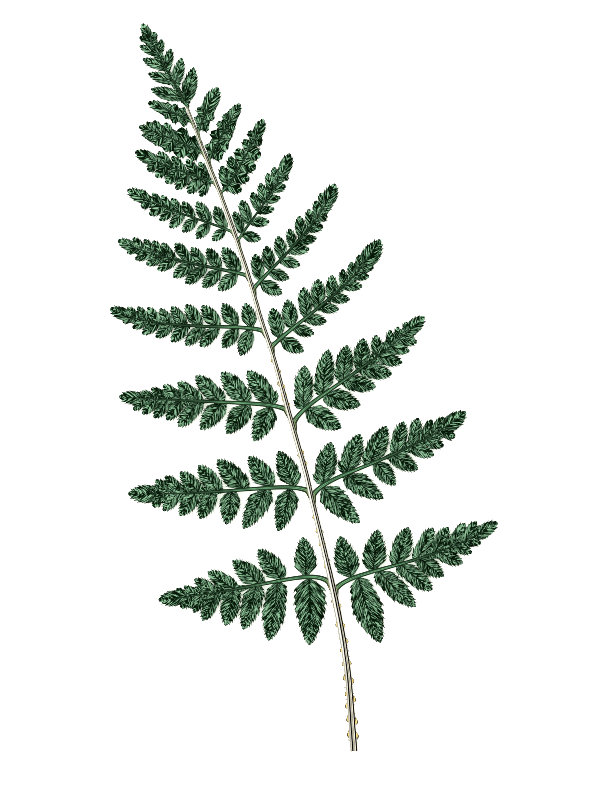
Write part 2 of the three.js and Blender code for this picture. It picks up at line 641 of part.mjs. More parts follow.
addPiece('stipe_and_rachis', buildStalk(), stalkStraw);
PINNAE_LEFT.forEach((row, i) => addPiece(`pinna_left_${i + 1}`, buildPinna(row, -1), leafGreen));
PINNAE_RIGHT.forEach((row, i) => addPiece(`pinna_right_${i + 1}`, buildPinna(row, 1), leafGreen));
addPiece('frond_tip', buildPinna(FROND_TIP, 1), leafGreen);

const box = new THREE.Box3().setFromObject(frond);
frond.position.set(-(box.min.x + box.max.x) / 2, -(box.min.y + box.max.y) / 2, 0);

const group = new THREE.Group();
group.add(frond);

export default group;
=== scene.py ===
"""A picked frond of the narrow buckler fern, lying face up, with its stalk, scales and sori."""

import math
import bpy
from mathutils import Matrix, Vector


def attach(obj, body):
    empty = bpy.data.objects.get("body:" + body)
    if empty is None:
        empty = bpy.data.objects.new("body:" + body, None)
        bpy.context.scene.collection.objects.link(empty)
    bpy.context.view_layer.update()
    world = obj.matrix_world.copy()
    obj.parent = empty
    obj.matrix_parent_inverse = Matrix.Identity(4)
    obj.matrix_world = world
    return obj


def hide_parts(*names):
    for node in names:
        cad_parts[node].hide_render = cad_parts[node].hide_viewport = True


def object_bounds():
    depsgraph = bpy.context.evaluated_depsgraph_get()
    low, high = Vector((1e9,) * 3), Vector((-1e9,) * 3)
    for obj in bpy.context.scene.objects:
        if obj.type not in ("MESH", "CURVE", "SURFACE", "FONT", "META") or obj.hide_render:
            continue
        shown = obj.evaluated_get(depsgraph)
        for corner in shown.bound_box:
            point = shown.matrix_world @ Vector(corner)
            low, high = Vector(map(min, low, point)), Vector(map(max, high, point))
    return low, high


bl_info = {
    "name": "Buckler fern frond",
    "version": (1, 0, 0),
    "blender": (4, 5, 0),
    "location": "3D View > Sidebar > Fern",
    "description": "Builds the leaflets, ribs, stalk, scales, hairs and sori of a fern frond",
    "category": "Add Mesh",
}

from collections import namedtuple

import bpy
import numpy as np
from bpy.props import FloatProperty, FloatVectorProperty, IntProperty, PointerProperty
from bpy.types import Operator, Panel, PropertyGroup
from mathutils import Vector

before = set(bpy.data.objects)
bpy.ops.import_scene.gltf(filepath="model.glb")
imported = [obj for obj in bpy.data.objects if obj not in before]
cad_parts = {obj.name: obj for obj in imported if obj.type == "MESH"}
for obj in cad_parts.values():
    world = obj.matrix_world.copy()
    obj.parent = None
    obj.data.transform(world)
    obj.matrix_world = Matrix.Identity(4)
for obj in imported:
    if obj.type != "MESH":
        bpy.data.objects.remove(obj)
CAD_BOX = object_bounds()

# Lengths below are millimetres in the plan of the stalk: its cut end is the start, +Y runs up it
MM = 0.001
STALK_NODE = "stipe_and_rachis"

# Stalk and midrib, measured from the cut end along the frond
STALK_LINE = [
    (0, 0), (3.2, 15), (7.3, 35), (9.3, 48), (10.7, 60), (12.1, 76), (13, 90),
    (13.9, 108), (14.6, 124), (15.5, 140), (15.65, 157), (15.7, 172), (16, 190), (16, 204),
    (15.35, 220), (15.4, 240), (14.65, 262), (13.45, 283), (11.6, 304), (10.5, 318), (9.35, 333),
]
STALK_END_X, STALK_TOP = STALK_LINE[-1]
STALK_WIDTH_PLACES = (0, 35, 76, 95, 120, 175, 190, 245, 300, 333)
STALK_HALF_WIDTHS = (1.95, 1.8, 1.8, 1.55, 1.4, 1.38, 1.25, 1.18, 1.08, 0.65)
# One section, sideways and up in half-widths, from the flat below and round over the grooves
STALK_SECTION = [
    (-0.5, 0), (0, 0), (0.5, 0), (0.82, 0.2), (1, 0.62), (0.99, 0.95), (0.9, 1.28), (0.76, 1.48),
    (0.62, 1.52), (0.52, 1.44), (0.44, 1.24), (0.36, 1.22), (0.26, 1.46), (0.14, 1.56), (0.02, 1.52),
    (-0.06, 1.3), (-0.14, 1.26), (-0.24, 1.44), (-0.42, 1.57), (-0.62, 1.54), (-0.8, 1.42),
    (-0.92, 1.22), (-0.99, 0.95), (-1, 0.62), (-0.82, 0.2),
]
STALK_RING_STEP = 1.1
GROOVE_AT_BASE = -0.2
GROOVE_HIGH_UP = 0.1
GROOVE_CROSSES = (15, 75)
SWELL = 0.008
SWELL_RATES = (0.37, 0.83)
EVEN_ENDS = 3
LAST_TURN = 1.5

# Papery scales on the sides of the stalk, thinning out upwards
SCALES_LEFT = (7, 14.5, 21, 27, 35, 42, 49, 62, 74, 92, 103, 110, 117, 149, 186, 198)
SCALES_RIGHT = (6, 13, 24, 33, 42, 53, 61, 71, 109, 144, 150, 184, 192)
SCALE_LENGTH_AT_BASE = 3.8
SCALE_LENGTH_AT_TOP = 2.1
SCALE_SPREAD = math.radians(30)
SCALE_CURL = 0.5
SCALE_WIDTH_SHARE = 0.56
SMALL_SCALE_WIDTH_SHARE = 0.36
SCALE_ROOT_DEPTH = 0.2
SMALL_SCALES_FROM = 80
SCALE_SPREADS = (0.5, 1.1)
SCALE_LIFTS = (0.3, 0.8)
SCALE_HEIGHTS = (0.9, 1.25)
SCALE_STATIONS = (0, 0.12, 0.3, 0.5, 0.68, 0.84, 0.95, 1)
SCALE_ENDS = (0.06, 0.98)
SCALE_WIDEST_POWER = 0.75
SCALE_FULLNESS = 0.7
SCALE_LEAST_HALF_WIDTH = 0.04
SCALE_HALF_THICKNESS = 0.06
SCALE_CUP = 0.22
SCALE_LIFT_POWER = 1.4
LOWEST_SMALL_SCALE = 3
SMALL_SCALES_SPAN = 258
SMALL_SCALES_CROWDING = 1.8
SMALL_SCALE_LENGTHS = (1, 1.9)
RIGHT_SIDE_SHARE = 0.45

# Hair-scales of the stalk
LOWEST_HAIR = 4
HAIRLESS_TOP = 10
HAIRS_CROWDING = 1.6
HAIR_ROOT_DEPTH = 0.15
HAIR_SPREADS = (0.3, 1.3)
SHORTEST_HAIR_SHARE = 0.3
HAIR_RADII = (0.15, 0.11, 0.02)
HAIR_CURL = 0.5
HAIR_RISE = 0.3

# Ribs of the pinnae
JOINT_GAP = 0.3
RIB_HALF_WIDTH = 1
SHORT_PINNA = 60
SHORT_RIB_SHARE = 0.75
RIB_TAPER = 0.72
RIB_ABOVE = 0.52
RIB_BELOW = 0.78
RIB_FADE = 0.5
RIB_SHOULDER = 0.1
RIB_PIECES = 120
RIB_RING_STEP = 0.6
BASE_TURN_POWER = 12
TIP_TURN_POWER = 3
RIB_SLIMNESS = 1.25
RIB_THINNING = 0.6
RIB_SHADE_LENGTH = 86
HIGH_RIBS = (160, 300)
HIGH_RIB_SLIMNESS = 0.8
HIGH_RIB_SHADE = 38
HIGH_RIB_SHADE_FROM = 3
# Sideways and up, in half-widths and half-heights, round one section of a rib
RIB_SECTION = [
    (-1, -0.1), (-0.85, 0.55), (-0.5, 0.95), (-0.22, 1), (0, 0.72), (0.22, 1), (0.5, 0.95),
    (0.85, 0.55), (1, -0.1), (0.7, -0.75), (0, -1), (-0.7, -0.75),
]
RIB_STOP_SHARE = 0.8
# How much a rib flattens, sinks and narrows at its end, and over how many of its last millimetres
RIB_END_FLATTENS = (0.75, 12)
RIB_END_SINKS = (0.12, 8)
RIB_END_NARROWS = (0.7, 10)

# The foot of a rib turns back along the stalk and runs into it
FOOT_DEPTH = 1
FOOT_STEP = 0.45
FOOT_LENGTH = 7
FOOT_TURN = 1.6
FOOT_TURN_SHARE = 0.9
FOOT_TAPER = 0.7
FOOT_FLARE = 0.15
FOOT_FLARE_LENGTH = 5

# The blade beside a rib, from where the leaflets start to be lobes
WING_FROM = 0.45
WING_TO = 0.8
WING_HALF_WIDTH = 0.9
WING_START = 3
WING_END_SHARE = 0.4
WING_DROP = 0.1
WING_OVERLAP = 1.2

# The web between joined lobes, as a share of their reach, and its toothed edge
WEB_SHARE = 0.5
WEB_GROWS = (0.4, 0.85)
FUSED_WEB_SHARE = 0.84
WEB_SLANT = 0.7
WEB_PITCH = 1.4
WEB_TOOTH = 0.16
WEB_RING_STEP = 0.4
WEB_COLUMNS = 11
WEB_ABOVE = 0.1
WEB_BELOW = -0.12

# Heights above the surface: a pinna leaves the stalk's side, arches up and droops to its tip
JOINT_HEIGHT_SHARE = 0.95
ARCH_SHARE = 0.055
ARCH_LEAN = 0.3
TIP_HEIGHT = 0.4
LOWEST_POINT = 0.06
MARGIN_HEIGHT = 0.75
LOWEST_MARGIN = 0.45
LEAFLET_DROOP = 0.72
DROOP_POWER = 1.6
ROOF_SHARE = 0.1

# Leaflets: of a pair of values, the first is a small leaflet's and the second a large one's
SMALL_TO_LARGE = (10, 28)
WIDEST_AT = (0.34, 0.24)
TAPER = (2, 1.55)
TIP_FULLNESS = (0.95, 0.76)
LOBE_DEPTH = (0.05, 0.2)
VEIN_SLANT = (0.5, 0.3)
VEIN_SLANT_SIZES = (5, 20)
LEAFLET_BEND = math.radians(4)
WIDTH_SHARE = 0.6
LARGE_LEAFLET = 22
LARGE_WIDTH_SHARE = 0.52
END_WIDTH_SHARE = 0.66
END_ROOT_SHARE = 0.9
END_CLEARANCE = 1.1
END_INNER = 0.3
LOBE_FULLNESS = 1.2
ROOT_HALF_WIDTH = 0.75
LOBE_ROOT_SHARE = 0.5
LOBE_GROWTH_POWER = 0.9
LOBED_WING = 0.5
LOBED_GROWTH = 0.85
TIP_GROWTH = 0.45
TIP_WIDTH_SHARE = 0.46
ROOT_STRETCH = 0.35
ROOT_GAP = 0.4
CLEAR_OF_NEIGHBOUR = 0.47
FUSED_WING = 1.5
FUSED_CLEARANCE = 0.6
ROOT_UNDER_RIB = 0.5
INNER_SHARE = 0.54
CLEAR_OF_STALK = 0.6
CLEAR_OF_RIB = 0.15
RIB_ROOM_SHARE = 0.9
LEAST_WIDTH = 0.3
TIP_HALF_WIDTH = 0.14

# How a leaflet's margin is kept clear and smoothed
LINE_POINTS = 9
MIDRIB_STEP = 0.02
LEAST_SLANT = 0.05
TRIM_STEP = 0.1
MARGIN_SMOOTHING = (0.1, 0.2, 0.4, 0.2, 0.1)
NEARLY_SQUARE = 1.001
LOBED_CLEARANCE_SHARE = 0.6
LEAST_BACK_ROOM = 0.1

# Lobes and teeth of a leaflet's margin
LOBE_PITCH = 4.4
LEAST_LOBES = 2
LEAST_TEETH = 5
FIRST_LOBE = 0.1
LAST_LOBE = 0.93
LOBE_PEAK = 0.62
# Columns of one tooth: how far through it, how far out it stands, and its lean to the tip
TOOTH_COLUMNS = [(0, 0, 0), (0.3, 0.5, 0.03), (0.6, 0.85, 0.14), (0.8, 1, 0.28), (0.9, 0.45, 0.14)]
VEIN_IN_TOOTH = 0.8
TOOTH_MIDDLE = 0.55
TOOTH_FROM = 0.8
TOOTH_CURVE = 1.5
TEETH_START = (0.02, 0.12)
TEETH_END = (0.93, 0.99)
TOOTH_SHARE = 0.26
MARGIN_SPREAD = 0.2
VEIN_BOW = 0.1
TURN_STEP = 0.03

# The relief of a leaflet and how its root runs on under the rib
LEAFLET_TWIST = 0.07
LEAFLET_LIFT = 0.35
MARGIN_RIPPLE = 0.1
RIPPLE_RATE = 1.9
RELIEF_FROM = (0.03, 0.25)
RELIEF_TO = (0.85, 1)
RELIEF_CURVE = 0.7
RELIEF_LEVEL = 0.4
RELIEF_BELOW = 0.4
GROOVE_WIDTH = 0.28
GROOVE_FADE = 0.6
GROOVE_ABOVE = 0.13
GROOVE_BELOW = 0.22
ROOT_RUNS_ON = 0.4
END_RUNS_ON = 1
ROOT_SINKS = 0.15

# A leaflet of this size has the longest strokes of colour along its veins
STROKE_SIZE = 26
# Rows of a leaflet from edge to edge, as shares of the half-width, above and then below
ROWS_ABOVE = (-1, -0.9, -0.74, -0.52, -0.3, -0.13, -0.045, 0, 0.045, 0.13, 0.3, 0.52, 0.74, 0.9, 1)
ROWS_BELOW = (0.8, 0.47, 0.1, 0, -0.1, -0.47, -0.8)
SORUS_ROWS = (len(ROWS_ABOVE) + 1, len(ROWS_ABOVE) + 5)
SORI_FROM, SORI_TO = 0.12, 0.86
SORI_LEAST_HALF_WIDTH = 1.5

# One sorus: its rings from the blade outwards, as shares of its width and depth, and their shade
SORUS_RINGS = ((1, 0, 0), (0.86, 0.62, 0.35), (0.4, 1, 1))
SORUS_POINTS = 10
SORUS_NOTCH = 0.45
SORUS_NOTCH_ANGLE = 0.55
SORUS_DEPTHS = (0.05, 0.28)
SORUS_ROOT = 0.06

# The leaflets on one side of a rib, from the stalk outwards: the station of each along it, how far
# it leans from it in degrees, and its length
Side = namedtuple("Side", "stations leans lengths")

# One pinna: its place on the stalk, the length of its rib, the rib's heading in degrees from
# straight out, at the stalk, in the middle and at the tip, then its upper and lower leaflets.
# The wing is the width of the blade beside the rib where the leaflets are only lobes.
Pinna = namedtuple("Pinna", "at length heading upper lower wing", defaults=(0,))

# From the base of the frond up
PINNAE_LEFT = [
    Pinna(85.5, 86, (49, 5, 10),
        Side((11, 23.5, 34.8, 48.3, 58.7, 67.3, 72), (88, 62, 51, 43, 43, 43, 43),
             (20, 19.5, 18, 15.5, 11.5, 7.5, 6.5)),
        Side((9.5, 25.5, 36.5, 48, 57, 64.5, 71), (90, 71, 63, 67, 54, 57, 49),
             (34.5, 30.5, 23.5, 19, 16, 10, 7))),
    Pinna(131.9, 89.8, (36, 11.5, 18),
        Side((6.8, 18.8, 32, 45, 54.6, 63.3, 69.8), (62, 59, 52, 57, 50, 47, 47),
             (20, 19, 20, 16.3, 14, 12, 9.5)),
        Side((8.3, 20.8, 37.8, 47.8, 56.3, 65.8, 72.8), (77, 57, 77, 62, 52, 49, 52),
             (23, 23.5, 17.5, 15, 14, 11, 8))),
    Pinna(174.2, 83.2, (36, 18.5, 20),
        Side((6.7, 19.8, 32.8, 43.8, 52.8, 59.8, 66.3), (45, 48, 44, 39, 36, 30, 24),
             (21.5, 20, 18, 14, 11.5, 9.5, 7)),
        Side((7.2, 19.2, 31.8, 43.2, 52.2, 59.2, 65.2, 70.7), (73, 59, 54, 53, 55, 56, 52, 50),
             (20, 18.5, 17.5, 16.5, 12.5, 11.5, 10, 8))),
    Pinna(215, 77.4, (31, 16.5, 44),
        Side((5.5, 13.5, 22.7, 31.7, 39.5, 46.6, 52.6, 58.4, 63.3),
             (70, 59, 53, 57, 53, 51, 46, 43, 31),
             (13.2, 13.7, 13.2, 12.8, 11.3, 9.3, 9.3, 8.3, 7.4)),
        Side((6, 13, 23, 30.4, 38.4, 46, 53, 59, 65), (76, 57, 51, 51, 51, 46, 44, 41, 35),
             (14.7, 12.6, 13, 12.5, 11, 10, 9.4, 7.4, 5.9))),
    Pinna(243.9, 66.4, (31, 27, 44),
        Side((4.3, 14, 21.7, 28.6, 37.5, 42.6, 47.3, 53.5), (46, 49, 44, 40, 41, 40, 36, 31),
             (15, 12, 11.2, 12.6, 9.8, 9.5, 8.9, 7.8)),
        Side((5, 13.5, 21.1, 28.1, 36.6, 43.1, 49.6, 55.6), (56, 58, 53, 49, 43, 39, 38, 33),
             (12.7, 12.5, 13, 11.4, 10, 9, 8, 6))),
    Pinna(266.9, 56, (41, 34, 49),
        Side((3.7, 12.5, 21, 27.4, 32.9, 37.9, 43.9), (44, 43, 40, 42, 38, 32, 23),
             (12.3, 12, 9.1, 8.6, 8.1, 7.6, 7.2)),
        Side((3.5, 12, 19, 26, 31.5, 37.1, 43.1), (64, 70, 65, 68, 59, 55, 50),
             (8.7, 10, 9.4, 9.4, 8, 7.4, 5.4))),
    Pinna(292.7, 42.2, (35, 36, 45),
        Side((3.7, 9.9, 17.8, 24.8), (43, 36, 32, 28), (10.4, 9.8, 8.8, 8.9)),
        Side((3.2, 7.7, 13.7, 19.2, 25.2, 30.2), (87, 74, 72, 68, 69, 68),
             (8.9, 9.7, 10, 9, 8, 6.6)), 1),
    Pinna(308.9, 34, (48, 39, 35),
        Side((4.2, 11.5, 19, 24), (42, 40, 36, 32), (7.3, 8, 8, 7.5)),
        Side((4, 10, 16.5, 22, 26), (76, 70, 64, 58, 52), (5.6, 7.2, 7, 6.4, 5.4)), 3),
    Pinna(325.4, 23.2, (46, 41, 37),
        Side((5, 10, 14), (52, 46, 38), (5, 4.6, 3.7)),
        Side((3.5, 8, 12.5), (66, 58, 53), (3.4, 4.2, 3.7)), 2.1),
]
PINNAE_RIGHT = [
    Pinna(80.8, 87.5, (30, -1.5, 19),
        Side((9, 20.5, 33, 44, 53, 62, 69.5), (82, 67, 57, 46, 42, 36, 33),
             (22, 21, 19.5, 17, 14.5, 13.5, 11)),
        Side((12, 23, 34.5, 44.5, 55, 63.5, 69.5, 75), (91, 60, 55, 54, 45, 44, 31, 27),
             (35.5, 26.5, 21, 15.5, 13.5, 9.5, 8, 6.5))),
    Pinna(129.1, 87.1, (37.5, 5, 24),
        Side((6.9, 19.9, 32.7, 46.9, 55.9, 61.9, 67.9), (46, 48, 44, 53, 52, 36, 26),
             (22, 21, 20.5, 16, 14, 11, 10)),
        Side((5.7, 19.4, 35.4, 44.4, 54.9, 62.9, 70.9), (80, 56, 73, 53, 46, 48, 50),
             (26.5, 22.5, 15.5, 15, 12.5, 10, 8.5))),
    Pinna(166.8, 83.8, (44, 18, 29),
        Side((8.1, 19.8, 32.3, 43.3, 53.8, 61.8, 66.8, 71.3), (47, 47, 49, 50, 59, 53, 53, 45),
             (22, 23, 18, 15, 10.5, 8, 6.5, 6)),
        Side((8.8, 20.8, 33.1, 43.6, 53.8, 61.3, 67.3), (70, 52, 47, 47, 52, 50, 48),
             (20.5, 19, 16, 15.5, 12.5, 10, 9))),
    Pinna(206.2, 76.2, (28, 21.5, 48),
        Side((5.7, 13.4, 22.9, 30.3, 39, 47.2, 53.2, 58.8), (65, 61, 59, 52, 49, 50, 46, 40),
             (15.8, 14.8, 14.9, 14.3, 10.6, 8.1, 7.4, 7)),
        Side((5.5, 14.2, 22, 30.9, 38.3, 47.2, 54.3, 59.7), (70, 55, 47, 46, 47, 44, 50, 47),
             (13.4, 10.6, 10.4, 9.5, 9.3, 9, 7.4, 6))),
    Pinna(236.7, 66.2, (33, 29, 57),
        Side((5, 12.4, 20.8, 28.4, 35.4, 42.3, 47.9, 52.8), (55, 55, 56, 55, 50, 44, 38, 36),
             (13.6, 12.2, 11.1, 9.1, 10.3, 8.4, 8.2, 8)),
        Side((4, 11.1, 19.3, 26, 32.4, 40.8, 48), (76, 65, 62, 42, 38, 41, 43),
             (12.8, 10.5, 10, 9.6, 9, 6.8, 4.5))),
    Pinna(262.2, 50, (42, 37, 61),
        Side((3.6, 9.8, 17.9, 23, 28.9, 33.9), (56, 56, 58, 49, 43, 36),
             (11.8, 12.4, 9.7, 9.7, 9.7, 8.6)),
        Side((3, 10.7, 17.5, 23.8, 30.7, 37.2), (71, 53, 46, 43, 41, 52),
             (9.8, 9.2, 7.7, 7.2, 6.2, 4.1))),
    Pinna(287.3, 42, (20, 43, 56),
        Side((5.4, 12.6, 19.6, 26, 31), (52, 49, 54, 52, 53), (10, 8.6, 6.6, 5.5, 5.2)),
        Side((4.6, 10.6, 17, 24, 30.5), (73, 74, 72, 78, 80), (7.4, 7.7, 7.6, 6.6, 4.1)), 1),
    Pinna(304.6, 31.8, (55, 44, 46),
        Side((5, 12, 17.5, 22), (54, 50, 48, 46), (4.8, 5.4, 5.2, 4.8)),
        Side((4, 9.5, 15.5, 20), (80, 70, 62, 54), (5.6, 5.8, 4.6, 3.6)), 2.3),
    Pinna(319.8, 24, (54, 50, 47),
        Side((4.5, 10), (52, 48), (4.7, 4.6)),
        Side((4, 9.5), (74, 62), (4.2, 4.5)), 2.2),
]
FROND_TIP = Pinna(STALK_TOP, 47, (105, 103, 99),
        Side((6.5, 15.5, 23.5, 31, 37), (45, 42, 40, 37, 35), (15.5, 12.5, 11.5, 9.5, 6.5)),
        Side((3.5, 13.5, 22.5, 30.5, 36.5), (44, 43, 41, 40, 38), (17.8, 13.6, 10, 7.5, 5.6)), 0.9)

# Each leafy node with its row, the side of the stalk that it grows on and the seed of its leaflets
LEAFY_NODES = [
    *((f"pinna_left_{i}", row, -1, 10 + i) for i, row in enumerate(PINNAE_LEFT, 1)),
    *((f"pinna_right_{i}", row, 1, 30 + i) for i, row in enumerate(PINNAE_RIGHT, 1)),
    ("frond_tip", FROND_TIP, 1, 50),
]

# The view: straight down, turned so that the frond leans left, with 0.4 m in the picture's height
CAMERA_LENS = 85
CAMERA_SENSOR = 36
VIEW_HEIGHT = 400
VIEW_MIDDLE = (22.85, 176.1)
VIEW_TURN = math.radians(-16.14)
LEAF_PLANE = 2
FLOOR_GAP = 0.05
KEY_LIGHT_SIZE = 1.6
KEY_LIGHT_PLACE = (-0.55, 0.6, 1.5)


def srgb(red, green, blue):
    """A screen colour from 0 to 255 as the linear colour that materials take."""
    shares = (c / 255 for c in (red, green, blue))
    return tuple(c / 12.92 if c <= 0.04045 else ((c + 0.055) / 1.055) ** 2.4 for c in shares)


# Small helpers for plan points, angles and graded values


def mix(a, b, share):
    return a + (b - a) * share


def smoothstep(value, low, high):
    share = np.clip((value - low) / (high - low), 0, 1)
    return share * share * (3 - 2 * share)


def heading(angle):
    """The plan direction at an angle."""
    return np.stack([np.cos(angle), np.sin(angle)], axis=-1)


def across(angle):
    """The plan direction to the left of that one."""
    return np.stack([-np.sin(angle), np.cos(angle)], axis=-1)


def angle_of(direction):
    return np.arctan2(direction[..., 1], direction[..., 0])


def times(points, factors):
    """Plan points, each scaled by its own factor."""
    return points * np.asarray(factors)[..., None]


def distance_to_line(points, line):
    """The distance of each plan point from a line of points."""
    start, step = line[:-1], np.diff(line, axis=0)
    reach = points[:, None] - start
    share = np.clip((reach * step).sum(-1) / (step * step).sum(-1), 0, 1)
    return np.linalg.norm(reach - times(step, share), axis=-1).min(axis=1)


# The stalk's centre line in plan


def stalk_plan():
    """Points of a smooth curve through STALK_LINE, each span weighted by the root of its length."""
    knots = np.array(STALK_LINE, float)
    knots = np.vstack([2 * knots[0] - knots[1], knots, 2 * knots[-1] - knots[-2]])
    place = np.linspace(0, len(STALK_LINE) - 1, 201)
    span = np.minimum(place.astype(int), len(STALK_LINE) - 2)
    t = (place - span)[:, None]
    p0, p1, p2, p3 = (knots[span + i] for i in range(4))
    spans = ((p0, p1), (p1, p2), (p2, p3))
    d0, d1, d2 = (np.sqrt(np.linalg.norm(b - a, axis=1))[:, None] for a, b in spans)
    leave = ((p1 - p0) / d0 - (p2 - p0) / (d0 + d1) + (p2 - p1) / d1) * d1
    arrive = ((p2 - p1) / d1 - (p3 - p1) / (d1 + d2) + (p3 - p2) / d2) * d1
    return (p1 + leave * t + (3 * (p2 - p1) - 2 * leave - arrive) * t**2
            + (2 * (p1 - p2) + leave + arrive) * t**3)


STALK_PLAN = stalk_plan()


def stalk_at(y):
    """The middle of the stalk at a place along it."""
    return np.stack([np.interp(y, STALK_PLAN[:, 1], STALK_PLAN[:, 0]), np.asarray(y, float)], axis=-1)


def stalk_half(y):
    return np.interp(y, STALK_WIDTH_PLACES, STALK_HALF_WIDTHS)


def stalk_angle(y, hand=1):
    """The stalk's heading, mirrored for the pinnae of the left side."""
    step = stalk_at(np.asarray(y) + 1) - stalk_at(y)
    return angle_of(step * (hand, 1))


def cut_end():
    """Where the middle of the stalk's cut end lies in the frame, in mm: the flat's lowest edge."""
    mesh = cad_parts[STALK_NODE].data
    points = np.unique(np.round([v.co / MM for v in mesh.vertices], 3), axis=0)
    flat = points[points[:, 2] < 0.01]
    corners = flat[np.argsort(flat[:, 1])[:2]]
    return corners.mean(axis=0) * (1, 1, 0)


CUT_END = cut_end()


def add_object(name, data):
    """Makes an object and links it to the scene."""
    made = bpy.data.objects.new(name, data)
    bpy.context.scene.collection.objects.link(made)
    return made


class Skin:
    """Gathers closed tubes of rings into one mesh, with named values at every point."""

    def __init__(self, *value_names):
        self.points, self.faces, self.finishes = [], [], []
        self.values = {name: [] for name in value_names}
        self.count = 0

    def tube(self, rings, values, finishes, hand=1):
        """Adds a capped tube of rings that run clockwise seen along it, each strip with its finish."""
        length, around = rings.shape[:2]
        flipped = hand < 0
        self.points.append((rings * (hand, 1, 1)).reshape(-1, 3))
        for name, gathered in self.values.items():
            gathered.append(np.broadcast_to(values[name], (length, around)).ravel())
        ring, step = np.arange(length - 1)[:, None] * around + self.count, np.arange(around)
        beside = (step + 1) % around
        corners = [ring + step, ring + beside, ring + around + beside, ring + around + step]
        quads = np.stack(corners, axis=-1).reshape(-1, 4)
        self.faces += (quads[:, ::-1] if flipped else quads).tolist()
        self.finishes.append(np.tile(np.broadcast_to(finishes, around), length - 1))
        first = list(range(self.count, self.count + around))
        last = [point + (length - 1) * around for point in first]
        self.faces += [first, last[::-1]] if flipped else [first[::-1], last]
        self.finishes.append([np.max(finishes)] * 2)
        self.count += length * around

    def piece(self, name, materials):
        """Makes the object, at its place in the frame."""
        mesh = bpy.data.meshes.new(name)
        points = np.clip((np.concatenate(self.points) + CUT_END) * MM, *CAD_BOX)
        mesh.from_pydata(points, [], self.faces)
        for material in materials:
            mesh.materials.append(material)
        mesh.polygons.foreach_set("material_index", np.concatenate(self.finishes).astype(np.int32))
        mesh.shade_smooth()
        for value_name, gathered in self.values.items():
            attribute = mesh.attributes.new(value_name, "FLOAT", "POINT")
            attribute.data.foreach_set("value", np.concatenate(gathered).astype(np.float32))
        if mesh.validate():
            raise RuntimeError(f"{name} had faces that had to be mended")
        made = add_object(name, mesh)
        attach(made, "root")
        return made


class Rib:
    """The rib of one pinna: it leaves the stalk steeply, runs straight, and turns up at its tip."""

    def __init__(self, row, hand):
        self.row, self.hand = row, hand
        self.start, self.middle, self.end = np.radians(row.heading)
        self.at_tip = row.at >= STALK_TOP
        if self.at_tip:
            foot = np.array([STALK_END_X, STALK_TOP]) + heading(self.start) * JOINT_GAP
            self.stalk_heading = self.start
        else:
            foot = stalk_at(row.at) * (hand, 1) + (stalk_half(row.at) + JOINT_GAP, 0)
            self.stalk_heading = stalk_angle(row.at, hand)
        places = (np.arange(RIB_PIECES) + 0.5) * row.length / RIB_PIECES
        steps = heading(self.angle(places)) * row.length / RIB_PIECES
        self.line = np.vstack([foot, foot + np.cumsum(steps, axis=0)])
        self.half = RIB_HALF_WIDTH * (SHORT_RIB_SHARE if row.length < SHORT_PINNA else 1)

    def angle(self, s):
        share = s / self.row.length
        return (self.middle + (self.start - self.middle) * (1 - share) ** BASE_TURN_POWER
                + (self.end - self.middle) * share**TIP_TURN_POWER)

    def point(self, s):
        place, ends = np.clip(s / self.row.length, 0, 1) * RIB_PIECES, np.arange(RIB_PIECES + 1)
        return np.stack([np.interp(place, ends, self.line[:, i]) for i in (0, 1)], axis=-1)

    def body_half(self, s):
        """Half the width of the raised rib."""
        return self.half * (1 - RIB_TAPER * s / self.row.length)

    def half_width(self, s):
        """Half the width of the rib with the blade beside it."""
        share = s / self.row.length
        grown = smoothstep(share, WING_FROM, WING_TO) * WING_HALF_WIDTH
        wing = np.maximum(grown, self.row.wing * np.minimum(1, s / WING_START))
        return self.body_half(s) + wing * np.minimum(1, (1 - share) / WING_END_SHARE)

    def height(self, s):
        share = s / self.row.length
        arch = ARCH_SHARE * self.row.length * 4 * share * (1 - share) * (1 - ARCH_LEAN * share)
        return mix(stalk_half(self.row.at) * JOINT_HEIGHT_SHARE, TIP_HEIGHT, share) + arch

    def stalk_room(self, points):
        """How far plan points are clear of the stalk's side."""
        if self.at_tip:
            return np.full(len(points), np.inf)
        y = points[:, 1]
        room = points[:, 0] - stalk_at(y)[:, 0] * self.hand - stalk_half(y)
        return np.where((y > 0) & (y < STALK_TOP), room, np.inf)


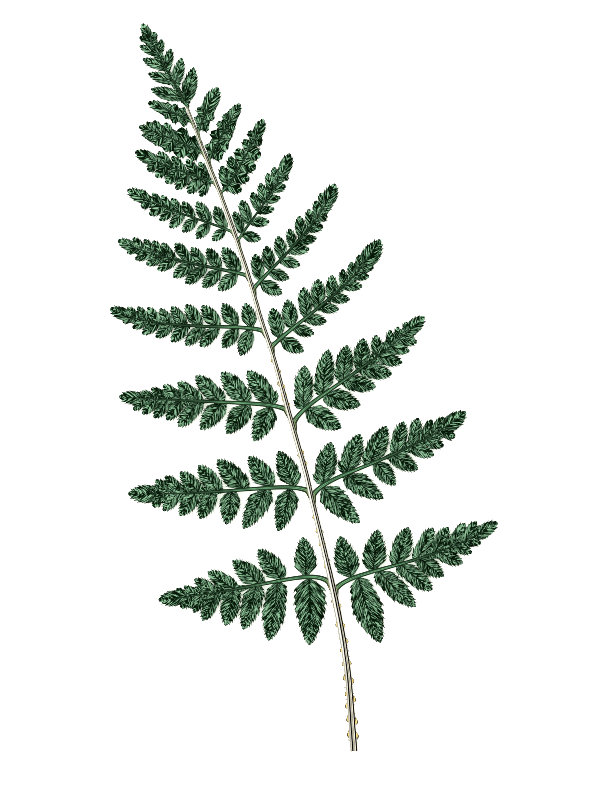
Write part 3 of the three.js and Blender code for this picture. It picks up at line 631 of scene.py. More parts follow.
class Leaflet:
    """One leaflet in plan: its midrib, and how wide it is on either side along it."""

    def __init__(self, rib, midrib, size, turn, lean, rib_angle, width_share, root_half, back_room=0):
        self.rib, self.midrib, self.size, self.turn, self.lean = rib, midrib, size, turn, lean
        self.rib_angle, self.width_share, self.root_half = rib_angle, width_share, root_half
        self.back_room = back_room
        # How far it runs on inwards to the rib as a share of its size, and its half-width there
        self.inner, self.inner_half = 0, root_half
        self.clearance = CLEAR_OF_NEIGHBOUR
        self.line = midrib(np.linspace(0, 1, LINE_POINTS))
        self.neighbours = []

    def outline(self, t):
        """The half-width as a share, narrow at the root, widest low down and rounded at the tip."""
        t = np.maximum(t, 0)
        root_share = self.root_half / (self.width_share * self.size * 0.5)
        large = smoothstep(self.size, *SMALL_TO_LARGE)
        widest = mix(*WIDEST_AT, large)
        swell = mix(root_share, 1, np.sin(math.pi / 2 * np.minimum(1, t / widest)))
        beyond = np.maximum(0, (t - widest) / (1 - widest))
        tapered = np.maximum(0, 1 - beyond ** mix(*TAPER, large))
        return np.where(t < widest, swell, tapered ** mix(*TIP_FULLNESS, large))

    def margin(self, half, t):
        """Smooth margin at shares t of the length: points, directions out to them, and half-widths.

        It keeps clear of the neighbouring leaflets, of the rib ahead of it and of the stalk.
        """
        is_ahead = half == -self.turn
        centre = self.midrib(t)
        ahead = self.midrib(np.minimum(1, t + MIDRIB_STEP))
        angle = angle_of(ahead - self.midrib(np.minimum(1 - 2 * MIDRIB_STEP, t - MIDRIB_STEP)))
        # Near the root the margin runs out along the rib, and further on square to the midrib
        square = smoothstep(t, 0, ROOT_STRETCH) if self.lean else np.ones_like(t)
        along_rib = heading(self.rib_angle + (0 if is_ahead else math.pi))
        outward = along_rib + times(across(angle), half * square / (NEARLY_SQUARE - square))
        out_angle = angle_of(outward)
        slant = np.abs(np.sin(out_angle - angle))

        nearest = np.min([distance_to_line(centre, line) for line in self.neighbours], axis=0)
        width = self.width_share * self.size * 0.5 * self.outline(t)
        width = np.minimum(width, nearest * self.clearance)
        if is_ahead and self.lean and math.cos(self.lean) > LEAST_SLANT:
            drop = np.maximum(LEAST_SLANT, np.sin(np.abs(self.rib_angle - out_angle)))
            room = (t * self.size * math.sin(self.lean) - CLEAR_OF_RIB) / drop
            width = np.minimum(width, np.maximum(LEAST_WIDTH, RIB_ROOM_SHARE * room * slant))
        if not is_ahead and self.lean:
            narrowed = mix(self.back_room * slant, width, smoothstep(t, 0, ROOT_STRETCH / 2))
            width = np.minimum(width, narrowed)
        width = np.where(t < 0, self.inner_half, width)
        out = times(heading(out_angle), 1 / slant)
        while True:
            is_tight = self.rib.stalk_room(centre + times(out, width)) < CLEAR_OF_STALK
            is_tight &= width > LEAST_WIDTH
            if not is_tight.any():
                break
            width = np.where(is_tight, width - TRIM_STEP, width)
        width = np.pad(width, len(MARGIN_SMOOTHING) // 2, "edge")
        width = np.convolve(width, MARGIN_SMOOTHING, "valid")
        return centre, out, np.maximum(width, TIP_HALF_WIDTH)


def leaflets_of(row, rib):
    """The leaflets of one pinna on both sides of its rib, and the one at its end."""
    sides, reach = [], 0
    for side, turn in ((row.upper, 1), (row.lower, -1)):
        last = len(side.lengths) - 1
        ours, before = [], 0
        for i, (s, lean, length) in enumerate(zip(side.stations, np.radians(side.leans), side.lengths)):
            rib_angle = float(rib.angle(s))
            foot = rib.point(s) + turn * across(rib_angle) * rib.half_width(s)
            spacing = side.stations[i + 1] - s if i < last else s - side.stations[i - 1]
            room = spacing * math.sin(lean)
            grown = (i / last) ** LOBE_GROWTH_POWER
            if row.wing > LOBED_WING:
                grown = mix(TIP_GROWTH if rib.at_tip else LOBED_GROWTH, 1, i / last)
            if row.wing > FUSED_WING:
                grown = 1
            root_half = min(mix(ROOT_HALF_WIDTH, LOBE_ROOT_SHARE * room, grown), LOBE_ROOT_SHARE * room)
            size = length - rib.half_width(s)
            bent = foot + heading(rib_angle + turn * (lean + LEAFLET_BEND)) * size * 0.5
            tip = foot + heading(rib_angle + turn * lean) * size
            width_share = LARGE_WIDTH_SHARE if length > LARGE_LEAFLET else WIDTH_SHARE
            if rib.at_tip:
                width_share = TIP_WIDTH_SHARE
            ours.append(Leaflet(
                rib, curve_through(foot, bent, tip), size, turn, lean, rib_angle,
                max(width_share, grown * LOBE_FULLNESS * room / size), root_half,
                max(LEAST_BACK_ROOM, s - before - ROOT_GAP, grown * root_half / math.sin(lean))))
            inwards = rib.half_width(s) - ROOT_UNDER_RIB * rib.body_half(s)
            ours[-1].inner = inwards / math.sin(lean) / size
            ours[-1].inner_half = mix(root_half, INNER_SHARE * room, grown)
            fused = 1 if row.wing > FUSED_WING else LOBED_CLEARANCE_SHARE * grown
            ours[-1].clearance = mix(CLEAR_OF_NEIGHBOUR, FUSED_CLEARANCE, fused)
            ours[-1].root_height = rib.height(s) - RIB_SHOULDER
            ours[-1].station = s
            before = s + root_half / math.sin(lean)
            reach = max(reach, s + spacing * 0.5)
        sides.append(ours)
    end = Leaflet(
        rib, lambda t: rib.point(mix(reach, row.length, t)), row.length - reach, -1, 0, 0,
        END_WIDTH_SHARE, END_ROOT_SHARE * END_WIDTH_SHARE * (row.length - reach) / 2)
    end.station = reach
    end.clearance, end.inner = END_CLEARANCE, END_INNER
    for ours in sides:
        for i, leaflet in enumerate(ours):
            beside = [other for j, other in enumerate(ours) if abs(i - j) == 1]
            leaflet.neighbours = [other.line for other in (end, *beside)]
    end.neighbours = [leaflet.line for leaflet in (*sides[0], *sides[1])]
    return [*sides[0], *sides[1]], end


def curve_through(start, elbow, tip):
    """A curve from start to tip that leaves towards the elbow."""
    def at(t):
        t = np.asarray(t, float)
        return times(start, (1 - t) ** 2) + times(elbow, 2 * t * (1 - t)) + times(tip, t**2)
    return at


def lobe_share(t, size):
    """How full the margin is along a leaflet: round lobes with sharp clefts between them."""
    lobes = max(LEAST_LOBES, round(size / LOBE_PITCH))
    through = (t - FIRST_LOBE) / (LAST_LOBE - FIRST_LOBE) * lobes
    x = np.where((through > 0) & (through < lobes), through % 1, LOBE_PEAK)
    cleft = np.where(x < LOBE_PEAK, (1 - x / LOBE_PEAK) ** 2, ((x - LOBE_PEAK) / (1 - LOBE_PEAK)) ** 2)
    return 1 - cleft * mix(*LOBE_DEPTH, smoothstep(size, *SMALL_TO_LARGE))


def add_leaflet(skin, leaflet, sizes, random, is_end=False):
    """One toothed leaflet with its veins in relief; gives the place and turn of each of its sori."""
    rib, size = leaflet.rib, leaflet.size
    pitch = sizes.tooth_pitch / MM
    cells = max(LEAST_TEETH, round(size / pitch))
    cell, column = np.divmod(np.arange(cells * len(TOOTH_COLUMNS) + 1), len(TOOTH_COLUMNS))
    through, out_share, lean_share = np.array(TOOTH_COLUMNS)[column].T
    q = (cell + through) / cells
    along = mix(-leaflet.inner, 1, q)
    phase = cell + through - VEIN_IN_TOOTH
    fade = smoothstep(q, *TEETH_START) * (1 - smoothstep(q, *TEETH_END))
    slant = mix(*VEIN_SLANT, smoothstep(size, *VEIN_SLANT_SIZES))
    t_middle = mix(-leaflet.inner, 1, q - slant * np.sin(math.pi * q))
    middle = leaflet.midrib(t_middle)
    ahead = leaflet.midrib(np.minimum(1, along + TURN_STEP))
    forward = heading(angle_of(ahead - leaflet.midrib(along - TURN_STEP)))

    v = np.array(ROWS_ABOVE + ROWS_BELOW)
    is_below = np.arange(len(v)) >= len(ROWS_ABOVE)
    share = np.abs(v)
    plan = np.zeros((len(q), len(v), 2))
    distance = np.zeros((len(q), len(v)))
    for half in (-1, 1):
        centre, out, width = leaflet.margin(half, along)
        ours = (np.sign(v) == half) | (v == 0)
        edge = centre + times(out, width * lobe_share(along, size) + MARGIN_SPREAD * fade)
        vein = edge - middle
        run = np.maximum(1e-6, np.linalg.norm(vein, axis=1))
        depth = np.minimum(sizes.tooth_depth / MM, TOOTH_SHARE * width) * fade
        bristle = np.minimum(sizes.bristle_length / MM, TOOTH_SHARE * width) * fade
        stand = (out_share - TOOTH_MIDDLE) * depth + np.where(through == VEIN_IN_TOOTH, bristle, 0)
        tooth = times(vein, stand / run) + times(forward, lean_share * pitch * fade)
        bow = middle + vein * 0.5 - times(forward, VEIN_BOW * run)
        w = share[ours][None, :, None]
        place = (1 - w) ** 2 * middle[:, None] + 2 * w * (1 - w) * bow[:, None] + w**2 * edge[:, None]
        in_tooth = np.maximum(0, (w - TOOTH_FROM) / (1 - TOOTH_FROM))
        place = place + in_tooth**TOOTH_CURVE * tooth[:, None]
        plan[:, ours] = place
        distance[:, ours] = share[ours] * width[:, None]

    t = np.maximum(0, mix(t_middle[:, None], along[:, None], share))
    if is_end:
        height = rib.height(mix(leaflet.station, rib.row.length, t))
        z = np.maximum(TIP_HEIGHT, height - ROOF_SHARE * distance)
    else:
        drooped = mix(leaflet.root_height, MARGIN_HEIGHT, LEAFLET_DROOP * t**DROOP_POWER)
        z = drooped - ROOF_SHARE * distance * share
        twist, lift = (random.uniform(-most, most) for most in (LEAFLET_TWIST, LEAFLET_LIFT))
        z = z + np.sin(math.pi / 2 * t) * (twist * distance * np.sign(v) + lift * t)
        z = np.maximum(LOWEST_MARGIN, z)
    z = z + MARGIN_RIPPLE * np.sin(phase[:, None] * RIPPLE_RATE + v) * share**2 * fade[:, None]
    nearness = np.abs((phase + 0.5) % 1 - 0.5)[:, None] * 2
    band = smoothstep(share, *RELIEF_FROM) * (1 - smoothstep(share, *RELIEF_TO))
    relief = sizes.vein_relief / MM * (nearness**RELIEF_CURVE - RELIEF_LEVEL) * band * fade[:, None]
    groove = np.exp(-(distance / GROOVE_WIDTH) ** 2) * (1 - GROOVE_FADE * t)
    thick = sizes.blade_thickness / MM * 0.5 * (1 - share**3)
    below = z - thick + relief * RELIEF_BELOW - GROOVE_BELOW * groove
    z = np.where(is_below, below, z + thick + relief - GROOVE_ABOVE * groove)

    # The root runs on under the rib
    rings = np.concatenate([plan, z[..., None]], axis=-1)
    inward = -leaflet.turn * across(leaflet.rib_angle)
    if is_end:
        inward = -heading(rib.angle(leaflet.station))
    sunk = rings[:1].copy()
    sunk[..., :2] += inward * (END_RUNS_ON if is_end else ROOT_RUNS_ON)
    sunk[..., 2] -= ROOT_SINKS
    rings = np.concatenate([sunk, rings])
    rings[..., 2] = np.maximum(rings[..., 2], np.where(is_below, LOWEST_POINT, LOWEST_POINT * 2))
    values = {
        "across": v,
        "along": np.vstack([t[:1], t]),
        "vein": np.concatenate([phase[:1], phase])[:, None],
        "tint": random.uniform(0, 1),
        "spread": min(1, size / STROKE_SIZE),
    }
    skin.tube(rings, values, np.arange(len(v)) >= len(ROWS_ABOVE) - 1, rib.hand)
    is_fertile = (through == VEIN_IN_TOOTH) & (cell % 2 == 1) & (q > SORI_FROM) & (q < SORI_TO)
    is_fertile &= distance[:, 0] > SORI_LEAST_HALF_WIDTH
    seen = rings * (rib.hand, 1, 1)
    return [
        (seen[i, row], float(angle_of((seen[i, row - 1] - seen[i, row + 1])[:2])))
        for i in np.flatnonzero(is_fertile) + 1 for row in SORUS_ROWS
    ]


def lobe_reach(side, s):
    """How far out from the middle of the rib the leaflets of one side reach, beside stations s of it."""
    leans, lengths = np.radians(side.leans), np.array(side.lengths)
    return np.interp(s, side.stations + lengths * np.cos(leans), lengths * np.sin(leans))


def add_wing(skin, rib, reach, random):
    """The blade along both sides of the rib, which runs out between the lobes that are joined."""
    row = rib.row
    s = np.arange(0, reach + WING_OVERLAP, WEB_RING_STEP)
    above = np.linspace(-1, 1, WEB_COLUMNS)
    v = np.concatenate([above, above[-2:0:-1]])
    is_below = np.arange(len(v)) >= WEB_COLUMNS
    share = WEB_SHARE * smoothstep(s / row.length, *WEB_GROWS)
    if row.wing > FUSED_WING:
        share = np.full(len(s), FUSED_WEB_SHARE)
    share = share * np.minimum(1, s / WING_START) * (1 - WEB_TOOTH * (s / WEB_PITCH % 1))
    least = rib.half_width(s)
    upper, lower = (
        np.maximum(least, mix(least, lobe_reach(side, s), share)) for side in (row.upper, row.lower))
    wide = np.where(v > 0, upper[:, None], lower[:, None]) * v
    run = np.abs(wide) * WEB_SLANT
    plan = rib.point(s[:, None] + run) + across(rib.angle(s))[:, None] * wide[..., None]
    fall = np.minimum(1, np.abs(wide) / np.maximum(1, lobe_reach(row.upper, s))[:, None])
    top = (rib.height(s) - RIB_SHOULDER)[:, None]
    z = mix(top, MARGIN_HEIGHT, LEAFLET_DROOP * fall**DROOP_POWER) - WING_DROP
    z = z + np.where(is_below, WEB_BELOW, WEB_ABOVE) * (1 - np.abs(v) ** 3)
    rings = np.concatenate([plan, np.maximum(z, LOWEST_POINT)[..., None]], axis=-1)
    values = {
        "across": v, "along": 0.3, "vein": s[:, None] / WEB_PITCH, "tint": random.uniform(0, 1),
        "spread": row.length / RIB_SHADE_LENGTH,
    }
    skin.tube(rings, values, np.roll(is_below, -1) | is_below, rib.hand)


def add_rib(skin, rib, reach, random):
    """The raised rib, from its foot in the stalk to near the pinna's tip."""
    foot, angles, backward = [rib.point(0.0)], [rib.start], []
    sunk, length = 0, 0
    while sunk < FOOT_DEPTH and length < FOOT_LENGTH:
        length += FOOT_STEP
        turned = mix(rib.start, rib.stalk_heading, min(1, length / FOOT_TURN) * FOOT_TURN_SHARE)
        foot.append(foot[-1] - heading(turned) * FOOT_STEP)
        angles.append(turned)
        backward.append(-length)
        sunk += FOOT_STEP if rib.at_tip else FOOT_STEP * abs(math.sin(turned - rib.stalk_heading))
    stop = reach + (rib.row.length - reach) * RIB_STOP_SHARE

    def at_end(amount, over):
        return amount * smoothstep(place, stop - over, stop)

    s = np.arange(0, stop, RIB_RING_STEP)
    plan = np.vstack([foot[:0:-1], rib.point(s)])
    angle = np.concatenate([angles[:0:-1], rib.angle(s)])
    place = np.concatenate([backward[::-1], s])
    inside = np.clip(place, 0, None)
    fade = (1 - RIB_FADE * inside / rib.row.length) * (1 - at_end(*RIB_END_FLATTENS))
    centre = rib.height(inside) - at_end(*RIB_END_SINKS)
    high = smoothstep(rib.row.at, *HIGH_RIBS)
    slim = mix(RIB_SLIMNESS, HIGH_RIB_SLIMNESS, high)
    slim = slim * (1 - RIB_THINNING * smoothstep(inside / rib.row.length, WING_FROM, WING_TO))
    flare = 1 + FOOT_FLARE * np.clip(1 - inside / FOOT_FLARE_LENGTH, 0, 1) ** 2
    half = slim * rib.body_half(inside) * flare * (1 - at_end(*RIB_END_NARROWS))
    half = half * (1 + FOOT_TAPER * np.minimum(0, place) / FOOT_LENGTH)
    section = np.array(RIB_SECTION)
    sideways, up = section.T
    rings = np.zeros((len(place), len(section), 3))
    rings[..., :2] = plan[:, None] + times(across(angle), half)[:, None] * -sideways[:, None]
    tall = np.where(up > 0, RIB_ABOVE, RIB_BELOW) * fade[:, None]
    rings[..., 2] = np.maximum(centre[:, None] + tall * up, LOWEST_POINT)
    aged = np.where(place > 0, place * RIB_SHADE_LENGTH / rib.row.length, place)
    aged = aged + HIGH_RIB_SHADE * high * np.clip(place / HIGH_RIB_SHADE_FROM, 0, 1)
    values = {
        "across": sideways[::-1], "along": aged[:, None], "vein": up[::-1], "tint": random.uniform(0, 1),
        "spread": 1,
    }
    skin.tube(rings[:, ::-1], values, 2, rib.hand)


# Shader building


class Value:
    """One output of a node. An expression on values and numbers adds its Math nodes."""

    def __init__(self, finish, socket):
        self.finish, self.socket = finish, socket

    def math(self, operation, *others):
        sockets = dict(enumerate((self, *others)))
        return self.finish.node("ShaderNodeMath", {"operation": operation}, sockets)

    def __add__(self, other):
        return self.math("ADD", other)

    __radd__ = __add__

    def __sub__(self, other):
        return self.math("SUBTRACT", other)

    def __rsub__(self, other):
        return self.finish.node("ShaderNodeMath", {"operation": "SUBTRACT"}, {0: other, 1: self})

    def __mul__(self, other):
        return self.math("MULTIPLY", other)

    __rmul__ = __mul__

    def __abs__(self):
        return self.math("ABSOLUTE")

    def __mod__(self, other):
        return self.math("FLOORED_MODULO", other)

    def smooth(self, low, high):
        """0 below low, 1 above high and smooth between."""
        return self.finish.node(
            "ShaderNodeMapRange", {"interpolation_type": "SMOOTHSTEP"},
            {"Value": self, "From Min": low, "From Max": high})

    def band(self, middle, half, soft):
        """1 within half of the middle, falling to 0 over soft."""
        return 1 - abs(self - middle).smooth(half, half + soft)


class Finish:
    """A material whose nodes are added one by one."""

    def __init__(self, name):
        self.material = bpy.data.materials.new(name)
        self.material.use_nodes = True
        self.tree = self.material.node_tree
        self.tree.nodes.clear()

    def node(self, kind, settings=None, sockets=None, out=0):
        """Adds a node, makes its settings, then fills its sockets with values or links."""
        made = self.tree.nodes.new(kind)
        for key, value in (settings or {}).items():
            setattr(made, key, value)
        for key, value in (sockets or {}).items():
            if isinstance(value, Value):
                self.tree.links.new(value.socket, made.inputs[key])
            else:
                made.inputs[key].default_value = value
        return Value(self, made.outputs[out]) if made.outputs else made

    def values(self, *names):
        """The named values that the skin holds at each point."""
        return [self.node("ShaderNodeAttribute", {"attribute_name": name}, out="Fac") for name in names]

    def place(self):
        return self.node("ShaderNodeTexCoord", out="Object")

    def vector(self, x, y, z):
        return self.node("ShaderNodeCombineXYZ", sockets={"X": x, "Y": y, "Z": z})

    def noise(self, place, scale, detail=2.0, roughness=0.5):
        sockets = {"Vector": place, "Scale": scale, "Detail": detail, "Roughness": roughness}
        return self.node("ShaderNodeTexNoise", sockets=sockets, out="Fac")

    def cells(self, scale):
        """The distance to the middle of the nearest small cell."""
        sockets = {"Vector": self.place(), "Scale": scale}
        return self.node("ShaderNodeTexVoronoi", sockets=sockets, out="Distance")

    def mixed(self, one, two, share):
        """Two colours mixed by a share."""
        colours = [c if isinstance(c, Value) else (*c, 1) for c in (one, two)]
        return self.node(
            "ShaderNodeMix", {"data_type": "RGBA"}, {0: share, 6: colours[0], 7: colours[1]}, out=2)

    def bump(self, height, distance, strength=1.0):
        sockets = {"Height": height, "Distance": distance, "Strength": strength}
        return self.node("ShaderNodeBump", sockets=sockets)

    def surface(self, specular=0.5, **sockets):
        """The material with one plain surface, whose sockets are given in lower case."""
        named = {key.replace("_", " ").title(): value for key, value in sockets.items()}
        named["Specular IOR Level"] = specular
        shader = self.node("ShaderNodeBsdfPrincipled", sockets=named)
        self.node("ShaderNodeOutputMaterial", sockets={"Surface": shader})
        return self.material


def leaf_upper(colours):
    """Dark green blade, with near-black and lighter strokes along its veins that are partly painted
    shade in the sunk veins and painted highlight on the blade between them, with painted shade along the
    midrib and a painted highlight midway out.
    """
    f = Finish("leaf_upper")
    side, along, vein, tint, spread = f.values("across", "along", "vein", "tint", "spread")
    share = abs(side)
    run = share * spread
    place = tint * 40 + side.smooth(-0.01, 0.01) * 7
    strokes = f.noise(f.vector(vein * 3.3, run * 2.6, place), 1.0, 1.5, 0.6)
    fine = f.noise(f.vector(vein * 7.0, run * 6.0, place + 3), 1.0, 1.0)
    broad = f.noise(f.place(), 130.0, 1.0)
    wander = f.noise(f.vector(vein * 0.5, share * 2.0, place), 1.0, 1.0)
    nearness = abs((vein + wander * 0.8 + 0.1) % 1 - 0.5) * 2
    # Painted shade along the sunk midrib, fading towards the tip
    midrib = (1 - share.smooth(0.02, 0.11)) * (1 - along.smooth(0.6, 1.0) * 0.5)
    # Strokes along the veins: random tone, partly painted shade in the sunk veins and painted highlight
    # on the blade between them
    level = strokes * 7.2 + fine * 3.6 + broad * 0.8 + nearness * 0.5 - 6.0
    # A painted highlight midway out on each half and painted shade along the midrib; the blade is also
    # darker at its margin
    level = level + share.band(0.5, 0.2, 0.3) * 0.15 - midrib * 0.7 - share.smooth(0.88, 1.0) * 0.3
    base = f.mixed(colours.leaf_stroke_and_shade, colours.leaf_dark, level.smooth(0.05, 0.4))
    base = f.mixed(base, colours.leaf_mid, level.smooth(0.2, 0.65))
    base = f.mixed(base, colours.leaf_light_and_highlight, level.smooth(0.55, 1.05))
    return f.surface(
        base_color=base, roughness=0.5 + strokes * 0.25, specular=0.01,
        normal=f.bump(level, 0.04 * MM, 0.5))


def leaf_under(colours):
    """Paler underside with raised, lighter veins."""
    f = Finish("leaf_under")
    side, vein, tint = f.values("across", "vein", "tint")
    share = abs(side)
    nearness = abs((vein + 0.5) % 1 - 0.5) * 2
    raised = (1 - nearness.smooth(0.05, 0.3)) * share.smooth(0.02, 0.1) + (1 - share.smooth(0.03, 0.1))
    mottle = f.noise(f.place(), 900.0, 3.0, 0.6)
    base = f.mixed(colours.underside, colours.leaf_mid, mottle.smooth(0.35, 0.75) * 0.5 + tint * 0.15)
    base = f.mixed(base, colours.underside_vein, raised * 0.7)
    return f.surface(base_color=base, roughness=0.62, specular=0.05,
                     normal=f.bump(raised + mottle * 0.4, 0.08 * MM, 0.7))


def rib_green(colours):
    """Green rib with painted shade on its flanks and in the groove down its middle, yellow-green at the
    stalk.
    """
    f = Finish("rib_green")
    side, along, up = f.values("across", "along", "vein")
    fibre = f.noise(f.vector(side * 2.6, along * 0.12, up), 1.0, 2.0)
    wander = (f.noise(f.vector(along * 0.25, 0.0, 0.0), 1.0, 1.0) - 0.5) * 0.5
    # Painted shade on the rib's flanks and in the groove down its middle; the rib is also darker further
    # out
    lines = abs(side).smooth(0.3, 0.42) + (side + wander).band(0.0, 0.04, 0.08) * 0.8
    lines = lines + along.smooth(25.0, 55.0) * 0.5
    base = f.mixed(colours.rib_light, colours.leaf_mid, fibre.smooth(0.35, 0.6) * 0.7)
    base = f.mixed(base, colours.leaf_dark, along.smooth(15.0, 55.0) * 0.7)
    base = f.mixed(colours.rib_foot, base, along.smooth(-3.0, 3.0))
    base = f.mixed(base, colours.leaf_stroke_and_shade, lines.smooth(0.0, 1.0) * 0.9)
    below = 1 - up.smooth(-0.5, 0.0)
    base = f.mixed(base, colours.underside_vein, below * 0.7)
    return f.surface(base_color=base, roughness=0.5, specular=0.02,
                     normal=f.bump(fibre, 0.1 * MM, 0.6))


def stalk_straw(colours):
    """Cream stalk with painted shade as dark lines in its groove and along its edges, and fine grey
    fibres.
    """
    f = Finish("stalk_straw")
    side, along, up = f.values("across", "along", "vein")
    fibre = f.noise(f.vector(side * 6, along * 0.06, up * 3), 1.0, 3.0, 0.6)
    fleck = f.noise(f.vector(side * 4, along * 0.45, up), 1.0, 2.0)
    face = up.smooth(0.3, 0.55)
    waver = side + (f.noise(f.vector(along * 0.12, 0.0, 0.0), 1.0, 2.0) - 0.5) * 0.14
    # Painted shade: a dark line down the groove and dark lines along both edges, heavier on the right,
    # laid only on the upper face
    groove = (waver - along.smooth(15.0, 75.0) * 0.36).band(-0.3, 0.13, 0.1)
    edge = waver.band(0.68, 0.14, 0.08) + waver.band(-0.76, 0.12, 0.1) * 0.45
    thin = waver.band(0.26, 0.05, 0.08) + waver.band(-0.02, 0.04, 0.06)
    thin = thin * (1 - along.smooth(30.0, 90.0) * 0.8)
    left = waver.band(-0.5, 0.2, 0.2) * along.band(95.0, 35.0, 25.0)
    base = f.mixed(colours.stalk_shade, colours.stalk_light, left * 0.7 + fleck.smooth(0.4, 0.7) * 0.5)
    base = f.mixed(base, colours.stalk_green, along.smooth(180.0, 333.0) * 0.35)
    base = f.mixed(base, colours.stalk_fibre, fibre.smooth(0.55, 0.7) * 0.3 + thin * 0.8)
    lines = (groove + edge) * (0.7 + fleck.smooth(0.2, 0.5) * 0.4)
    base = f.mixed(base, colours.stalk_painted_shade, (lines * face).smooth(0.0, 0.9))
    return f.surface(base_color=base, roughness=0.6, specular=0.02,
                     normal=f.bump(fibre - groove * 0.6, 0.12 * MM, 0.6))


def cut_flesh(colours):
    """The pale, porous flesh of the cut end."""
    f = Finish("cut_flesh")
    pores = f.cells(2600.0)
    base = f.mixed(colours.stalk_shade, colours.stalk_light, pores.smooth(0.1, 0.5))
    return f.surface(base_color=base, roughness=0.8, normal=f.bump(pores, 0.1 * MM, 0.6))


def scale_tan(colours):
    """Golden, papery scale with a dark rim and brown streaks."""
    f = Finish("scale_tan")
    side, along, tint = f.values("across", "along", "tint")
    streak = f.noise(f.vector(side * 5, along * 1.2, tint * 30), 1.0, 3.0)
    rim = abs(side).smooth(0.25, 0.65) + along.smooth(0.7, 0.95)
    base = f.mixed(colours.scale_light, colours.scale_dark, streak.smooth(0.45, 0.7) * 0.5)
    base = f.mixed(base, colours.scale_dark, tint * 0.3)
    base = f.mixed(base, colours.scale_rim, rim.smooth(0.0, 0.8) * 0.9)
    return f.surface(base_color=base, roughness=0.55, specular=0.02,
                     normal=f.bump(streak, 0.08 * MM, 0.6))


def sorus_brown(colours):
    """Kidney-shaped spore cover, pale brown in its middle, with spore cases round its rim."""
    f = Finish("sorus_brown")
    [rim] = f.values("along")
    grain = f.cells(5200.0)
    base = f.mixed(colours.sorus_dark, colours.sorus_light, rim.smooth(0.25, 0.7))
    base = f.mixed(base, colours.sorus_dark, grain.smooth(0.3, 0.6) * 0.4)
    return f.surface(base_color=base, roughness=0.7, normal=f.bump(grain, 0.06 * MM, 0.8))


def floor_paper():
    """Pale floor that is seen only from above, so that the frond's underside can be looked at."""
    f = Finish("floor_paper")
    mottle = f.noise(f.place(), 3.0, 2.0)
    base = f.mixed(srgb(243, 242, 239), srgb(247, 246, 243), mottle)
    paper = f.node("ShaderNodeBsdfPrincipled", sockets={
        "Base Color": base, "Roughness": 0.9, "Specular IOR Level": 0.0,
        "Emission Color": (1, 1, 1, 1), "Emission Strength": 0.5})
    clear = f.node("ShaderNodeBsdfTransparent")
    below = f.node("ShaderNodeNewGeometry", out="Backfacing")
    seen = f.node("ShaderNodeMixShader", sockets={0: below, 1: paper, 2: clear})
    f.node("ShaderNodeOutputMaterial", sockets={"Surface": seen})
    return f.material


# Settings


def length(name, description, millimetres):
    """A setting in metres, given in mm."""
    return FloatProperty(
        name=name, description=description, default=millimetres * MM, min=0, precision=5, unit="LENGTH")


def colour(name, description, *levels):
    """A colour setting, given as a screen colour."""
    return FloatVectorProperty(
        name=name, description=description, default=srgb(*levels), size=3, min=0, max=1, subtype="COLOR")


class FernSizes(PropertyGroup):
    """Fine sizes that the solids don't hold."""

    tooth_pitch: length("Tooth pitch", "Distance between two teeth along a leaflet's margin", 1.35)
    tooth_depth: length("Tooth depth", "Depth of a tooth from its notch to its point", 0.75)
    bristle_length: length("Bristle", "Length of the fine bristle that ends each tooth", 0.55)
    vein_relief: length("Vein relief", "Height of the blade between two veins over the veins", 0.2)
    blade_thickness: length("Blade thickness", "Thickness of a leaflet in its middle", 0.3)
    sorus_width: length("Sorus width", "Width of one kidney-shaped sorus", 1.05)
    hair_length: length("Hair length", "Length of the fine hair-scales on the stalk", 1.9)
    small_scales: IntProperty(
        name="Small scales", description="Number of small scales between the large ones",
        default=16, min=0)
    hairs: IntProperty(
        name="Hairs", description="Number of hair-scales on the stalk", default=130, min=0)


class FernColours(PropertyGroup):
    """Colours of the frond."""

    leaf_mid: colour("Leaf", "Main green of the upper side", 58, 102, 68)
    # Lighter strokes between the veins, partly painted highlight
    leaf_light_and_highlight: colour("Leaf light", "Lighter strokes between the veins", 138, 184, 146)
    leaf_dark: colour("Leaf dark", "Shaded parts of the upper side", 26, 56, 32)
    # Near-black strokes, partly painted shade in the sunk veins, along the midrib and on the ribs'
    # flanks and grooves
    leaf_stroke_and_shade: colour("Leaf strokes", "Near-black green along veins and midrib", 3, 18, 4)
    underside: colour("Underside", "Paler green of the underside", 128, 160, 112)
    underside_vein: colour("Underside veins", "Light veins of the underside", 168, 190, 138)
    rib_light: colour("Rib", "Light lines along a pinna's rib", 116, 176, 124)
    rib_foot: colour("Rib foot", "Yellow-green where a rib joins the stalk", 150, 168, 110)
    stalk_light: colour("Stalk", "Cream of the stalk", 252, 250, 236)
    stalk_green: colour("Stalk green", "Green tint of the stalk towards its top", 176, 182, 140)
    stalk_shade: colour("Stalk shade", "Greyer cream of the stalk", 232, 228, 210)
    stalk_fibre: colour("Stalk fibres", "Fine grey lines along the stalk", 132, 126, 104)
    # Painted shade in the stalk's groove and along its edges
    stalk_painted_shade: colour("Stalk grooves", "Dark lines of the stalk's groove and edges", 10, 9, 6)
    scale_light: colour("Scale", "Golden yellow of the scales", 246, 226, 140)
    scale_dark: colour("Scale dark", "Brown streaks of the scales", 190, 148, 80)
    scale_rim: colour("Scale rim", "Dark rim of the scales", 34, 26, 14)
    sorus_light: colour("Sorus", "Cover of a sorus", 172, 142, 96)
    sorus_dark: colour("Sorus rim", "Spore cases round a sorus", 92, 58, 30)


class StageSettings(PropertyGroup):
    """Floor and light."""

    floor_size: FloatProperty(
        name="Floor", description="Side of the floor", default=6, min=1, unit="LENGTH")
    key_power: FloatProperty(
        name="Key light", description="Power of the large soft light", default=22, min=0, unit="POWER")
    sky_strength: FloatProperty(
        name="Sky", description="Strength of the even light all round", default=0.8, min=0)
    pixel_blur: FloatProperty(
        name="Pixel blur", description="Width that one pixel gathers light from, in pixels",
        default=0.8, min=0.01)


# Pieces


